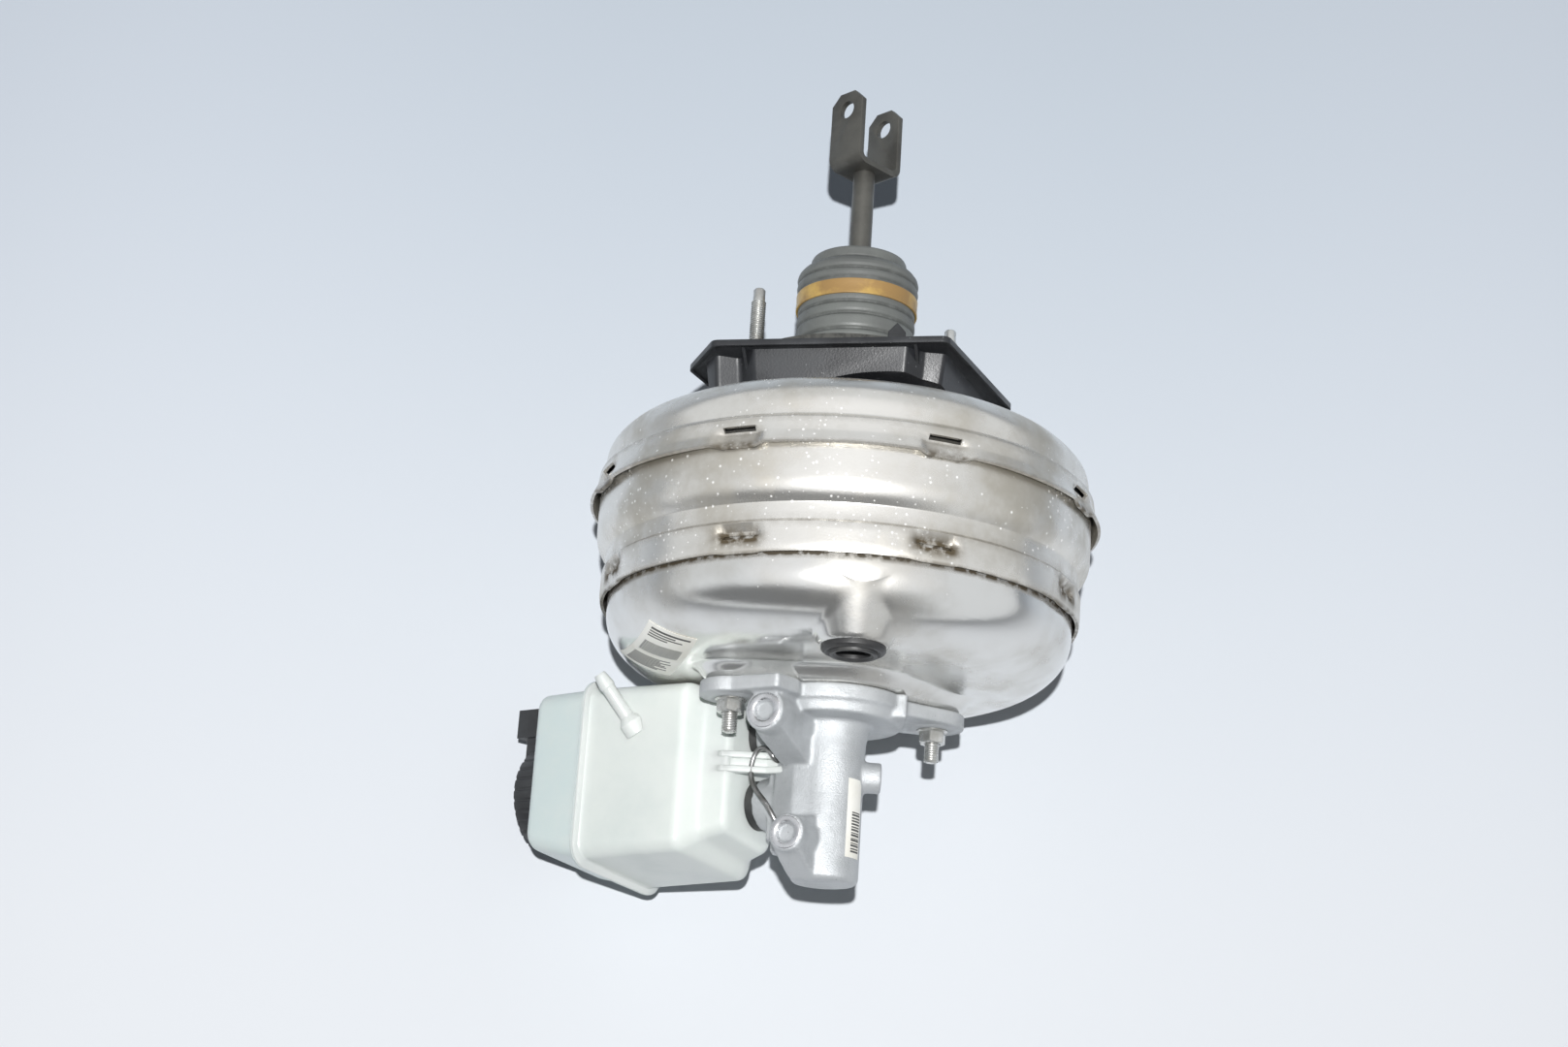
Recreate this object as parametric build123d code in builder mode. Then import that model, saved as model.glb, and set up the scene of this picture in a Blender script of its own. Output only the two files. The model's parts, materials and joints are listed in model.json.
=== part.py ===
"""Tandem vacuum brake booster with its master cylinder and fluid reservoir.

The booster axis is Y, with +Y towards the pedal. The origin is the centre of the
mounting frame's rear face. The assembly lies on the rims of its drum, +Z up.
"""
from build123d import *
from math import cos, pi, radians, sin
import os

# ---- fits ----
seat_gap = 0.3          # between pieces that are seated but free
run_gap = 0.05          # radial clearance of a sliding fit

# ---- drum shells ----
sheet = 1.6             # wall of the pressed shells
bead_grip = 11.0        # how far the middle shell's rim reaches in under the bead
frame_depth = 21.0      # frame's rear face to the rear shell's platform
platform_radius = 60.0
platform_foot = 13.0    # how much wider the platform is at its foot
platform_rise = 16.0
rear_corner_in = 12.9
rear_corner_deep = 15.4
rear_corner_bends = (31.0, 15.5)
rear_depth = 27.0       # rear face to the start of the skirt
skirt_flare = 4.1
skirt_lip = 3.1
skirt_depth = 16.0
lip_height = 6.0        # of the flared lip at the skirt's end
drum_radius = 130.2     # outside of the middle shell
skirt_in = 1.8          # rear shell's wall inside that
mid_length = 34.0       # rear skirt's lip to the waist
mid_rim_back = 5.5      # rear shell's crease to the middle shell's rim
waist_draw = 5.4        # how far the waist is drawn in
ring_draw = 4.2         # and the crimped ring
ring_depth = 19.0
rim_tuck = 4.0          # front shell's rim inside the crimped ring
rim_turn_in = 9.0
front_draw = 8.4        # front shell's wall inside the middle shell's
front_depth = 34.5      # ring lip to the front face
front_corner_in = 18.3
front_corner_deep = 21.8
front_corner_bends = (46.0, 18.5)
hub_rise = 7.5          # raised seat for the master cylinder
hub_radius = 46.0
hub_lobe = 19.0
hub_draft = 25.0
collar_depth = 14.5     # rear shell's centre collar
collar_width = 5.5      # room round the valve neck for its seal
collar_turn_in = 2.6
lance_count = 8
lance_clock = 19.5
lance_width = 16.0
lance_height = 2.5
lance_back = 8.0        # skirt's lip to its lances
port_side = 5.7         # vacuum port off the centre line
port_out = 92.0
port_pad_radius = 19.0
port_pad_rise = 3.0
grommet_hole = 11.5
grommet_bore = 8.5
grommet_radius = 16.0
grommet_proud = 5.0

# ---- tie rods ----
rod_pitch = 114.2       # across the two rods
rod_clock = 21.3
thread_radius = 4.0
nut_thread_radius = 3.8  # the front thread, drawn under its crests so that the nuts clear it
shank_radius = 4.8
rear_stud_length = 43.5
dog_radius = 3.2
dog_length = 7.0
rod_collar_radius = 7.5
rod_collar_height = 3.0
rod_seat_radius = 11.0
seat_depth = 9.0        # how deep the round seats reach into the shells
nut_width = 13.0
nut_height = 6.5
nut_washer_radius = 8.2
nut_washer = 1.5
stud_past_nut = 10.0

# ---- mounting frame ----
frame_clock = 12.6
frame_near = 68.0       # centre to the two long edges
frame_edge = 62.0       # half length of those edges
frame_corner_out = 82.8
frame_corner_up = 32.5
frame_corner_round = 5.0
frame_flange = 1.8
frame_wall = 2.6
skirt_corners = [       # one half of the skirt's outline, turned over for the other
    (-72.0, 40.0),
    (-64.0, 51.0),
    (-52.0, 45.0),
    (-42.5, 58.5),
    (39.0, 58.5),
    (47.0, 50.0),
    (58.0, 47.0),
]
skirt_round = 3.0
skirt_draft = 3.0       # how far the skirt draws in towards its foot
frame_lip = 1.6
frame_lip_depth = 1.4
gusset_places = (-47.0, 44.0)  # along each long edge
gusset_width = 1.6
gusset_out = (48.0, 62.0)
gusset_depth = 9.0
arch_side = 27.0        # arch in the skirt's foot, off the middle of each long edge
arch_radius = 125.0
arch_rise = 6.5
frame_collar_radius = 36.0
frame_boss_radius = 9.0
frame_rib = 2.4
frame_rib_depth = 13.0
gasket_thickness = 4.5
gasket_inner = 46.5
gasket_outer = 63.5
gasket_hole = 5.4

# ---- dust boot ----
boot_radius = 32.4
boot_wall = 2.2
boot_crease = 1.6
boot_creases = (20.7, 28.7, 36.5)
band_low = 39.0
band_width = 9.5
band_thickness = 1.0
band_seat = 0.2         # groove that the band sits in
crease_half = 1.8
bulge_pitch = 4.4       # rolls between the band and the shoulder
bulge_out = 0.7
boot_shoulder_y = 62.2
boot_drum = 7.0         # height of the small drum on top
boot_top_radius = 25.8
boot_top = 72.0
boot_lip_depth = 5.0
boot_foot = 3.0
clip_width = 9.5
clip_height = 18.5
clip_thickness = 3.0
clip_side = 21.2
clip_out = 34.5
clip_point = 5.5        # height of its pointed end

# ---- pedal rod and clevis ----
pedal_rod_radius = 6.0
rod_head_radius = 8.5
rod_head = 2.0
rod_neck_radius = 3.5
rod_neck_up = 4.0       # valve seat to the rod's full thickness
ball_in = 3.2           # centre of the rod's ball below the valve seat
spring_seat_up = 25.0   # retainer to the rod's spring seat
spring_seat = 2.5
spring_seat_radius = 11.0
clevis_hole_radius = 5.0
clevis_hole_height = 158.4
clevis_half_width = 17.0
clevis_sheet = 3.6
clevis_bend = 6.5
clevis_width = 22.8
clevis_above_hole = 10.6
clevis_below_hole = 33.4
clevis_chamfer = 6.0
clevis_clock = 45.0

# ---- servo: valve body, piston plates, diaphragms ----
servo_travel = 34.0
valve_travel = 1.6
neck_radius = 19.5
neck_wall = 2.5
neck_past_platform = 60.0
body_radius = 26.0
body_flange_radius = 32.0
body_flange = 4.0
front_hub_radius = 22.0
front_hub = 11.0
plate_sheet = 1.4
plate_room = 23.2       # drum's outside to the piston plates' rims
plate_rim = 6.0
plate_bend = 3.0
rear_plate_back = 29.0  # rear shell's platform to the rear piston plate
piston_gap = 57.0       # rear piston plate to front piston plate
wall_plate_gap = 48.0   # rear piston plate to the centre wall
centre_wall_bend = 4.0
wall_rise = 5.0         # piston plates' rims to the centre wall's side
bead_seat = 5.5         # centre wall's rim above the waist
rubber = 2.0
seal_flange = 3.0
rod_seal_radius = 9.0
seal_lip = 4.0
plunger_radius = 7.0
plunger_head_radius = 8.8
plunger_socket = 4.8
valve_seat_radius = 10.5
valve_seat_wall = 1.5
valve_seat_height = 4.7
poppet_radius = 14.6
poppet_height = 14.0
poppet_bore = 6.8
poppet_face = 3.0       # thickness of its face
poppet_wall = 1.2
poppet_rim = 2.0
retainer_bore = 7.5
retainer = 2.5
key_width = 13.0
key_sheet = 2.4
key_past_body = 5.0
key_room = 0.8          # valve body's flange to the key
groove_depth = 2.4      # plunger's groove for the key
disc_radius = 13.0
disc_thickness = 5.0
disc_recess = 11.0
output_head = 5.5
output_rod_radius = 5.0
filter_length = 30.0

# ---- springs ----
coil_sides = 12         # straight lengths of wire in each turn
return_wire = 3.6
return_turns = 5
return_rear_radius = 28.5
return_front_radius = 36.0
rod_wire = 1.6
poppet_wire = 1.2
poppet_coil_radius = 11.5
poppet_turns = 4
rod_coil_radius = 9.0
rod_turns = 5
cylinder_wire = 2.0
cylinder_turns = 6

# ---- master cylinder ----
bore_radius = 11.9
cylinder_radius = 17.5
cylinder_length = 97.0
spigot_radius = 19.0
spigot_length = 19.0
flange_thick = 8.0
flange_core_thick = 14.5
flange_core_radius = 38.5
flange_neck_radius = 26.0
lobe_radius = 16.5
flange_corner = [(-63.0, 31.5), (-30.0, 51.5), (-19.0, 39.0), (-12.0, 0.0), (-46.0, 0.0)]
core_draft = 12.0
lug_place = (31.0, 11.0)
lug_size = (12.0, 22.0)
lug_proud = 5.0
cylinder_chamfer = 2.0
end_wall = 10.0
port_lean = 28.0
port_radius = 5.2
port_depth = 15.0
rear_port_out = 54.9
rear_port_up = 11.6
rear_port_back = 18.0   # flange seat to the rear port's axis
rear_turret_radius = 10.8
front_port_out = 36.0
front_port_up = 5.0
front_port_back = 76.8
front_turret_radius = 9.8
stub_radius = 8.0
stub_reach = 26.5
stub_back = 40.5
inlet_up = 39.0
inlet_radius = 14.0
inlet_bore = 10.0
inlet_depth = 15.0
inlet_back = 18.0       # flange seat to the rear inlet
inlet_pitch = 36.0
feed_radius = 1.5
web_half = 12.0
web_up = 30.0
web_back = (15.0, 75.0)
oring_radius = 22.0
oring_wire = 1.5
clip_groove_radius = 13.4
clip_bore = 9.2
clip_sheet = 1.2
clip_in = 2.5           # spigot's mouth to the circlip
piston_head = 32.0
piston_stem_radius = 8.5
piston_stem = 10.0
stem_socket = 12.0
piston_spacing = 20.0
floating_head = 27.0
piston_recess = 12.0
piston_wall = 4.0
cup_depth = 2.2
cup_width = 4.0
cup_in = 3.0

# ---- reservoir ----
tank_lean = 35.0
tank_wall = 2.4
tank_near = 43.0
tank_far = 28.5
tank_back = 8.0         # how far the tank reaches behind the flange seat
tank_front = 84.0
tank_skew = 7.0         # how much further forward the far side reaches
tank_round = 9.0
seam_up = 129.0
tank_top = 168.0
top_near = 40.0
top_far = 33.0
top_draft = 8.0
belly_up = 65.5
belly_in = 1.5          # its foot inside the seam's outline
throat_near = 31.0
throat_far = 20.0
throat_up = 60.0
throat_foot_up = 44.0
throat_front = 75.0
throat_back = 3.0
throat_foot_in = (2.5, 5.0, 3.8, 4.0)  # near, far, rear and front sides at its foot
seam_rim = 4.2
seam_sheet = 1.5
neck_foot_up = 25.0
tank_neck_radius = 7.2
tank_neck_wall = 1.8
grommet_lip_radius = 13.0
cap_place = 42.0        # flange seat to the cap's axis
filler_radius = 25.5
filler_height = 14.0
cap_radius = 29.0
cap_depth = 12.0
cap_sheet = 2.6
cap_opening = 10.0
rib_pitch = 12          # degrees between the grooves in the cap's rim
rib_radius = 1.2
strainer_radius = 21.5
strainer_sheet = 1.2
strainer_depth = 64.0
window_size = (34.0, 10.0)
window_down = 28.0      # tank's top to the middle of the strainer's windows
sensor_stem_radius = 4.5
sensor_foot_radius = 7.0
sensor_arm_width = 12.0
sensor_arm_height = 8.0
sensor_arm_reach = 49.0
sensor_head = 4.0
sensor_head_radius = 13.0
sensor_socket_height = 14.0
sensor_socket_length = 16.0
sensor_socket_wall = 2.0
sensor_socket_depth = 10.0
float_radius = 13.0
float_height = 14.0
float_travel = 26.0
spout_radius = 4.2
spout_bore = 2.4
spout_length = 34.0
spout_up = 98.0
spout_back = 17.0       # flange seat to the spout's foot
spout_aim = (17.0, 12.0, 25.0)  # its way along side, up and +Y
arm_back = (30.0, 41.0)
arm_sheet = 5.0
pin_up = 22.0
pin_radius = 1.5
wire_route = [          # along side from the web, up and y from the pin
    (-28.0, 0.0, 0.0),
    (12.0, 0.0, 0.0),
    (12.0, 14.0, -6.0),
    (12.0, 12.0, -26.0),
    (4.0, -2.0, -36.0),
]
wire_bends = [3.0, 4.0, 6.0]

# ---- radii and places along the axis that follow from the sizes above ----
rear_radius = drum_radius - skirt_in
waist_radius = drum_radius - waist_draw
ring_radius = drum_radius - ring_draw
front_radius = drum_radius - front_draw
plate_radius = drum_radius - plate_room
platform_y = -frame_depth
rear_face_y = platform_y - platform_rise
crease_y = rear_face_y - rear_depth
rear_lip_y = crease_y - skirt_depth
waist_y = rear_lip_y - mid_length
ring_lip_y = waist_y - ring_depth
front_rim_y = waist_y - rim_tuck
front_face_y = ring_lip_y - front_depth
flange_y = front_face_y - hub_rise
nut_seat_y = flange_y - flange_thick
cylinder_end_y = flange_y - cylinder_length
bore_end_y = cylinder_end_y + end_wall
mouth_y = flange_y + spigot_length
rear_plate_y = platform_y - rear_plate_back
front_plate_y = rear_plate_y - piston_gap
wall_plate_y = rear_plate_y - wall_plate_gap
neck_end_y = platform_y + neck_past_platform
clevis_base_y = clevis_hole_height - clevis_below_hole
valve_floor_y = rear_plate_y
valve_seat_y = valve_floor_y + valve_seat_height
mid_rim_y = crease_y - mid_rim_back
hub_front_y = front_plate_y - front_hub
disc_y = hub_front_y + disc_recess
piston_rear_y = mouth_y - clip_in - clip_sheet - seat_gap
stem_end_y = piston_rear_y + piston_stem
floating_rear_y = piston_rear_y - piston_head - piston_spacing
rod_offset = rod_pitch / 2
rod_places = [
    (-rod_offset * cos(radians(rod_clock)), rod_offset * sin(radians(rod_clock))),
    (rod_offset * cos(radians(rod_clock)), -rod_offset * sin(radians(rod_clock))),
]
inlet_ys = [flange_y - inlet_back, flange_y - inlet_back - inlet_pitch]
cap_y = flange_y - cap_place
pin_y = flange_y - sum(arm_back) / 2
os.makedirs("parts", exist_ok=True)


# ---- planes and helpers ----
def across(y, turn=0.0):
    """Plane square to the booster axis that looks forward, its x turned from +X to +Z."""
    return Plane(origin=(0, y, 0), x_dir=(cos(radians(turn)), 0, sin(radians(turn))), z_dir=(0, -1, 0))


def up_of(lean):
    return Vector(-cos(radians(lean)), 0, -sin(radians(lean)))


def side_of(lean):
    return Vector(-sin(radians(lean)), 0, cos(radians(lean)))


def leaning(side, up, y, lean=tank_lean):
    """Point given by its side and up distances from the bore of the leaning cylinder."""
    return side_of(lean) * side + up_of(lean) * up + Vector(0, y, 0)


def level(up, y=0.0, side=0.0):
    """Plane square to the reservoir's up direction: local x is its side, local y is +Y."""
    return Plane(origin=leaning(side, up, y), x_dir=side_of(tank_lean), z_dir=up_of(tank_lean))


def cross_section(y):
    """Plane square to the booster axis: local x is the reservoir's side, local y its up."""
    return Plane(origin=(0, y, 0), x_dir=side_of(tank_lean), z_dir=(0, -1, 0))


def lance_plane(turn, y):
    """Plane through the axis that faces out of the drum, its local y towards the pedal."""
    outward = Vector(sin(radians(turn)), 0, cos(radians(turn)))
    return Plane(origin=(0, y, 0), x_dir=(cos(radians(turn)), 0, -sin(radians(turn))), z_dir=outward)


def turn(*points, mode=Mode.ADD):
    """Revolve a closed (radius, y) profile about the booster axis in the open part."""
    with BuildSketch(Plane.XY) as profile:
        with BuildLine():
            Polyline(*points, close=True)
        make_face()
    revolve(profile.sketch, axis=Axis.Y, mode=mode)


def ring(outer, inner, start_y, end_y, mode=Mode.ADD):
    """Plain ring about the booster axis in the open part."""
    turn((inner, start_y), (outer, start_y), (outer, end_y), (inner, end_y), mode=mode)


def pressed(points, bends, thickness):
    """Revolve a bent sheet: its wall lies right of the (radius, y) line, or left if negative."""
    line = [Vector(*point) for point in points]
    ways = [(second - first).normalized() for first, second in zip(line, line[1:])]
    rights = [Vector(way.Y, -way.X) for way in ways]
    far_line = [line[0] + rights[0] * thickness]
    far_bends = []
    for corner, first, second, bend in zip(line[1:], rights, rights[1:], bends):
        far_line.append(corner + (first + second) * (thickness / (1 + first.dot(second))))
        turns_right = first.cross(second).Z < 0
        far_bends.append(max(bend - thickness if turns_right else bend + thickness, 0.2))
    far_line.append(line[-1] + rights[-1] * thickness)
    with BuildSketch(Plane.XY) as profile:
        with BuildLine():
            near_side = FilletPolyline(*line, radius=bends)
            far_side = FilletPolyline(*far_line, radius=far_bends)
            Line(near_side @ 0, far_side @ 0)
            Line(near_side @ 1, far_side @ 1)
        make_face()
    revolve(profile.sketch, axis=Axis.Y)


def drill(plane, radius, depth, places=((0, 0),)):
    """Round holes from a plane into the open part."""
    with BuildSketch(plane) as holes:
        with Locations(*places):
            Circle(radius)
    extrude(holes.sketch, amount=depth, mode=Mode.SUBTRACT)


def raised_seats(y, way, radius, places):
    """Flat round seats pressed in the open part's sheet, facing forward (1) or to the pedal (-1)."""
    for rim, floor, mode in ((radius, y, Mode.ADD), (radius - sheet, y + way * sheet, Mode.SUBTRACT)):
        with BuildSketch(across(floor)) as seats:
            with Locations(*places):
                Circle(rim)
        extrude(seats.sketch, amount=-way * seat_depth, mode=mode)


def coil(start_radius, end_radius, wire, start_y, end_y, turns):
    """Helical spring about the booster axis in the open part, from start_y down to end_y."""
    steps = coil_sides * turns
    rise = start_y - end_y - wire
    bends = []
    for step in range(steps + 1):
        share = step / steps
        radius = start_radius + (end_radius - start_radius) * share
        angle = 2 * pi * step / coil_sides
        bends.append((radius * cos(angle), start_y - wire / 2 - rise * share, radius * sin(angle)))
    with BuildLine() as path:
        Polyline(*bends)
    with BuildSketch(Plane(origin=path.line @ 0, z_dir=path.line % 0)) as section:
        RegularPolygon(wire / 2, 6)
    sweep(section.sketch, path=path.line, transition=Transition.RIGHT)


def write(part, name):
    part.label = name
    export_step(part, f"parts/{name}.step")


# ---- pressed shells ----
collar_radius = neck_radius + collar_width
lance_turns = [lance_clock + 360.0 / lance_count * k for k in range(lance_count)]

with BuildPart() as rear_shell:
    pressed(
        [
            (collar_radius - collar_turn_in, platform_y - collar_depth),
            (collar_radius, platform_y - collar_depth),
            (collar_radius, platform_y),
            (platform_radius, platform_y),
            (platform_radius + platform_foot, rear_face_y),
            (rear_radius - rear_corner_in, rear_face_y),
            (rear_radius, rear_face_y - rear_corner_deep),
            (rear_radius + 0.6, crease_y),
            (rear_radius + skirt_flare - 1.5, crease_y - 3.5),
            (rear_radius + skirt_flare, rear_lip_y + lip_height),
            (rear_radius + skirt_flare + skirt_lip, rear_lip_y),
        ],
        [0.6, 2.5, 8.0, 8.0, *rear_corner_bends, 3.0, 3.0, 8.0],
        sheet,
    )
    for lance_turn in lance_turns:
        with BuildSketch(lance_plane(lance_turn, rear_lip_y + lance_back)):
            SlotOverall(lance_width, lance_height)
        extrude(amount=2 * drum_radius, mode=Mode.SUBTRACT)
    raised_seats(platform_y, -1, rod_seat_radius, rod_places)
    drill(across(platform_y + 1.0), shank_radius + seat_gap, sheet + 2.0, rod_places)
write(rear_shell.part, "rear_shell")

with BuildPart() as mid_shell:
    pressed(
        [
            (drum_radius - bead_grip, mid_rim_y),
            (drum_radius - 4.0, mid_rim_y),
            (drum_radius, rear_lip_y + 4.0),
            (drum_radius, rear_lip_y - 12.0),
            (drum_radius - 1.0, waist_y + 14.0),
            (waist_radius + 1.4, waist_y + 6.5),
            (waist_radius, waist_y + 5.0),
            (waist_radius, waist_y - 2.5),
            (ring_radius, waist_y - 4.0),
            (ring_radius, ring_lip_y),
        ],
        [2.0, 6.0, 20.0, 16.0, 1.0, 1.0, 0.5, 0.5],
        sheet,
    )
    for lance_turn in lance_turns:
        with BuildSketch(lance_plane(lance_turn, ring_lip_y + lance_back)):
            SlotOverall(lance_width, lance_height)
        extrude(amount=2 * drum_radius, mode=Mode.SUBTRACT)
write(mid_shell.part, "mid_shell")

port_place = [(port_side, port_out)]
with BuildPart() as front_shell:
    pressed(
        [
            (spigot_radius + seat_gap, front_face_y),
            (front_radius - front_corner_in, front_face_y),
            (front_radius, front_face_y + front_corner_deep),
            (front_radius, front_rim_y),
            (front_radius - rim_turn_in, front_rim_y),
        ],
        [*front_corner_bends, 2.0],
        -sheet,
    )
    with BuildSketch(across(front_face_y)):
        Circle(hub_radius)
        with Locations(*rod_places):
            Circle(hub_lobe)
        make_hull()
    extrude(amount=hub_rise, taper=hub_draft)
    with BuildSketch(across(front_face_y + sheet)):
        Circle(hub_radius - sheet)
        with Locations(*rod_places):
            Circle(hub_lobe - sheet)
        make_hull()
    extrude(amount=hub_rise, taper=hub_draft, mode=Mode.SUBTRACT)
    raised_seats(front_face_y - port_pad_rise, 1, port_pad_radius, port_place)
    drill(across(front_face_y + sheet + 1.0), spigot_radius + seat_gap, hub_rise + 5.0)
    drill(across(front_face_y + sheet + 1.0), thread_radius + seat_gap, hub_rise + 5.0, rod_places)
    drill(across(front_face_y), grommet_hole, port_pad_rise + 1.0, port_place)
write(front_shell.part, "front_shell")

with BuildPart() as centre_wall:
    pressed(
        [
            (body_radius + seal_lip - 0.6, wall_plate_y),
            (plate_radius + wall_rise, wall_plate_y),
            (plate_radius + wall_rise + 1.0, waist_y + bead_seat),
            (waist_radius - sheet - seat_gap, waist_y + bead_seat),
        ],
        [centre_wall_bend, 2.0],
        plate_sheet,
    )
    drill(across(wall_plate_y + 1.0), shank_radius + seal_flange, plate_sheet + 2.0, rod_places)
write(centre_wall.part, "centre_wall")

# ---- tie rods and their nuts ----
rod_front_y = nut_seat_y - nut_washer - nut_height - stud_past_nut
with BuildPart() as tie_rods:
    with BuildSketch(across(rear_stud_length)):
        with Locations(*rod_places):
            Circle(dog_radius)
    extrude(amount=dog_length)
    with BuildSketch(across(rear_stud_length - dog_length)):
        with Locations(*rod_places):
            Circle(thread_radius)
    extrude(amount=rear_stud_length - dog_length + rod_collar_height)
    with BuildSketch(across(flange_y + rod_collar_height)):
        with Locations(*rod_places):
            Circle(nut_thread_radius)
    extrude(amount=flange_y + rod_collar_height - rod_front_y)
    with BuildSketch(across(0)):
        with Locations(*rod_places):
            Circle(shank_radius)
    extrude(amount=-flange_y - sheet)
    for collar_y in (platform_y - sheet, flange_y + sheet + rod_collar_height):
        with BuildSketch(across(collar_y)):
            with Locations(*rod_places):
                Circle(rod_collar_radius)
        extrude(amount=rod_collar_height)
    stud_ends = tie_rods.edges().filter_by(GeomType.CIRCLE).group_by(Axis.Y)
    chamfer(stud_ends[0] + stud_ends[-1], length=0.8)
write(tie_rods.part, "tie_rods")

with BuildPart() as master_cylinder_nuts:
    with BuildSketch(across(nut_seat_y)):
        with Locations(*rod_places):
            Circle(nut_washer_radius)
    extrude(amount=nut_washer)
    with BuildSketch(across(nut_seat_y - nut_washer)):
        with Locations(*rod_places):
            RegularPolygon(nut_width / 2, 6, major_radius=False)
    extrude(amount=nut_height)
    drill(across(nut_seat_y), nut_thread_radius + run_gap, nut_washer + nut_height, rod_places)
write(master_cylinder_nuts.part, "master_cylinder_nuts")

# ---- mounting frame and gasket ----
frame_corners = [
    (-frame_edge, frame_near),
    (frame_edge, frame_near),
    (frame_corner_out, -frame_corner_up),
    (frame_edge, -frame_near),
    (-frame_edge, -frame_near),
    (-frame_corner_out, frame_corner_up),
]


def frame_outline(inset):
    """The frame's six-sided outline, drawn in by inset."""
    with BuildSketch() as outline:
        Polygon(*frame_corners, align=None)
        if inset:
            offset(amount=-inset, kind=Kind.INTERSECTION)
        fillet(outline.vertices(), radius=frame_corner_round)
    return outline.sketch


def skirt_outline(inset):
    """Outline of the frame's skirt, drawn in by inset."""
    with BuildSketch() as outline:
        Polygon(*skirt_corners, *[(-side, -up) for side, up in skirt_corners], align=None)
        if inset:
            offset(amount=-inset, kind=Kind.INTERSECTION)
        fillet(outline.vertices(), radius=skirt_round)
    return outline.sketch


def frame_skirt(inset):
    """Drafted block under the frame's flange, its sides drawn in by inset."""
    head = across(-frame_flange, frame_clock) * skirt_outline(inset)
    foot = across(-frame_depth, frame_clock) * skirt_outline(inset + skirt_draft)
    return loft([head.face(), foot.face()])


frame_plane = across(0, frame_clock)
with BuildPart() as frame_ribs:
    for corner_x, corner_z in frame_corners:
        along = (frame_plane.x_dir * corner_x + frame_plane.y_dir * corner_z).normalized()
        with BuildSketch(Plane(origin=(0, 0, 0), x_dir=along, z_dir=along.cross(Vector(0, 1, 0)))):
            with Locations((frame_near, -frame_flange - frame_rib_depth / 2)):
                Rectangle(2 * (frame_near - frame_collar_radius + 1.0), frame_rib_depth)
        extrude(amount=frame_rib / 2, both=True)
    add(frame_skirt(0), mode=Mode.INTERSECT)

with BuildPart() as mounting_frame:
    add(frame_skirt(0))
    add(frame_skirt(frame_wall), mode=Mode.SUBTRACT)
    add(frame_ribs.part)
    with BuildSketch(frame_plane):
        add(frame_outline(0))
    extrude(amount=frame_flange)
    with BuildSketch(across(-frame_flange, frame_clock)):
        add(frame_outline(0))
        add(frame_outline(frame_lip), mode=Mode.SUBTRACT)
    extrude(amount=frame_lip_depth)
    for way in (1, -1):
        edge_way = frame_plane.x_dir * way
        out_way = frame_plane.y_dir * way
        with BuildSketch(Plane(origin=out_way * frame_collar_radius, x_dir=edge_way, z_dir=out_way)):
            with Locations((arch_side, arch_rise - frame_depth - arch_radius)):
                Circle(arch_radius)
        extrude(amount=frame_near, mode=Mode.SUBTRACT)
        for gusset_place in gusset_places:
            with BuildSketch(Plane(origin=edge_way * gusset_place, x_dir=out_way, z_dir=edge_way * -1)):
                with BuildLine():
                    Polyline(
                        (gusset_out[1], -frame_flange + 0.2),
                        (gusset_out[0], -frame_flange + 0.2),
                        (gusset_out[0], -frame_flange - gusset_depth),
                        close=True,
                    )
                make_face()
            extrude(amount=gusset_width / 2, both=True)
    with BuildSketch(across(-frame_flange)):
        Circle(frame_collar_radius)
        with Locations(*rod_places):
            Circle(frame_boss_radius)
    extrude(amount=frame_depth - frame_flange)
    drill(across(0), frame_collar_radius - frame_wall, frame_depth)
    with BuildSketch(across(0)):
        Circle(frame_collar_radius)
        Circle(boot_radius - boot_wall - 1.5, mode=Mode.SUBTRACT)
    extrude(amount=frame_flange)
    drill(across(0), shank_radius + seat_gap, frame_depth, rod_places)
write(mounting_frame.part, "mounting_frame")

with BuildPart() as frame_gasket:
    ring(gasket_outer, gasket_inner, gasket_thickness, 0)
    drill(across(gasket_thickness), gasket_hole, gasket_thickness, rod_places)
write(frame_gasket.part, "frame_gasket")

# ---- dust boot, its band and its clip ----
boot_outline = [(boot_radius, 0.0)]
for crease in boot_creases:
    boot_outline += [
        (boot_radius, crease - crease_half),
        (boot_radius - boot_crease, crease),
        (boot_radius, crease + crease_half),
    ]
boot_outline.pop()
bulge_y = band_low + band_width
bulge_radius = boot_radius + bulge_out
boot_bore = boot_radius - boot_wall
rod_lip_radius = pedal_rod_radius + seat_gap
boot_outline += [(boot_radius - band_seat, band_low), (boot_radius - band_seat, bulge_y)]
for roll in range(3):
    roll_y = bulge_y + bulge_pitch * roll
    boot_outline += [(boot_radius - band_seat, roll_y + 0.6), (bulge_radius, roll_y + 1.4)]
    boot_outline += [(bulge_radius, roll_y + bulge_pitch - 0.8)]
boot_outline += [
    (boot_radius - 1.0, boot_shoulder_y),
    (boot_top_radius + 0.8, boot_top - boot_drum),
    (boot_top_radius, boot_top - 1.0),
    (boot_top_radius - 1.0, boot_top),
    (rod_lip_radius, boot_top),
    (rod_lip_radius, boot_top - boot_lip_depth),
    (rod_lip_radius + boot_wall, boot_top - boot_wall),
    (boot_top_radius - boot_wall, boot_top - boot_wall),
    (boot_top_radius - boot_wall, boot_top - boot_drum - 1.0),
    (boot_bore - boot_crease, boot_shoulder_y - boot_wall),
    (boot_bore - boot_crease, boot_foot),
    (boot_bore, 0.0),
]
with BuildPart() as dust_boot:
    turn(*boot_outline)
write(dust_boot.part, "dust_boot")

with BuildPart() as boot_band:
    ring(boot_radius + band_thickness, boot_radius, bulge_y - 2 * band_seat, band_low + 2 * band_seat)
write(boot_band.part, "boot_band")

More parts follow.
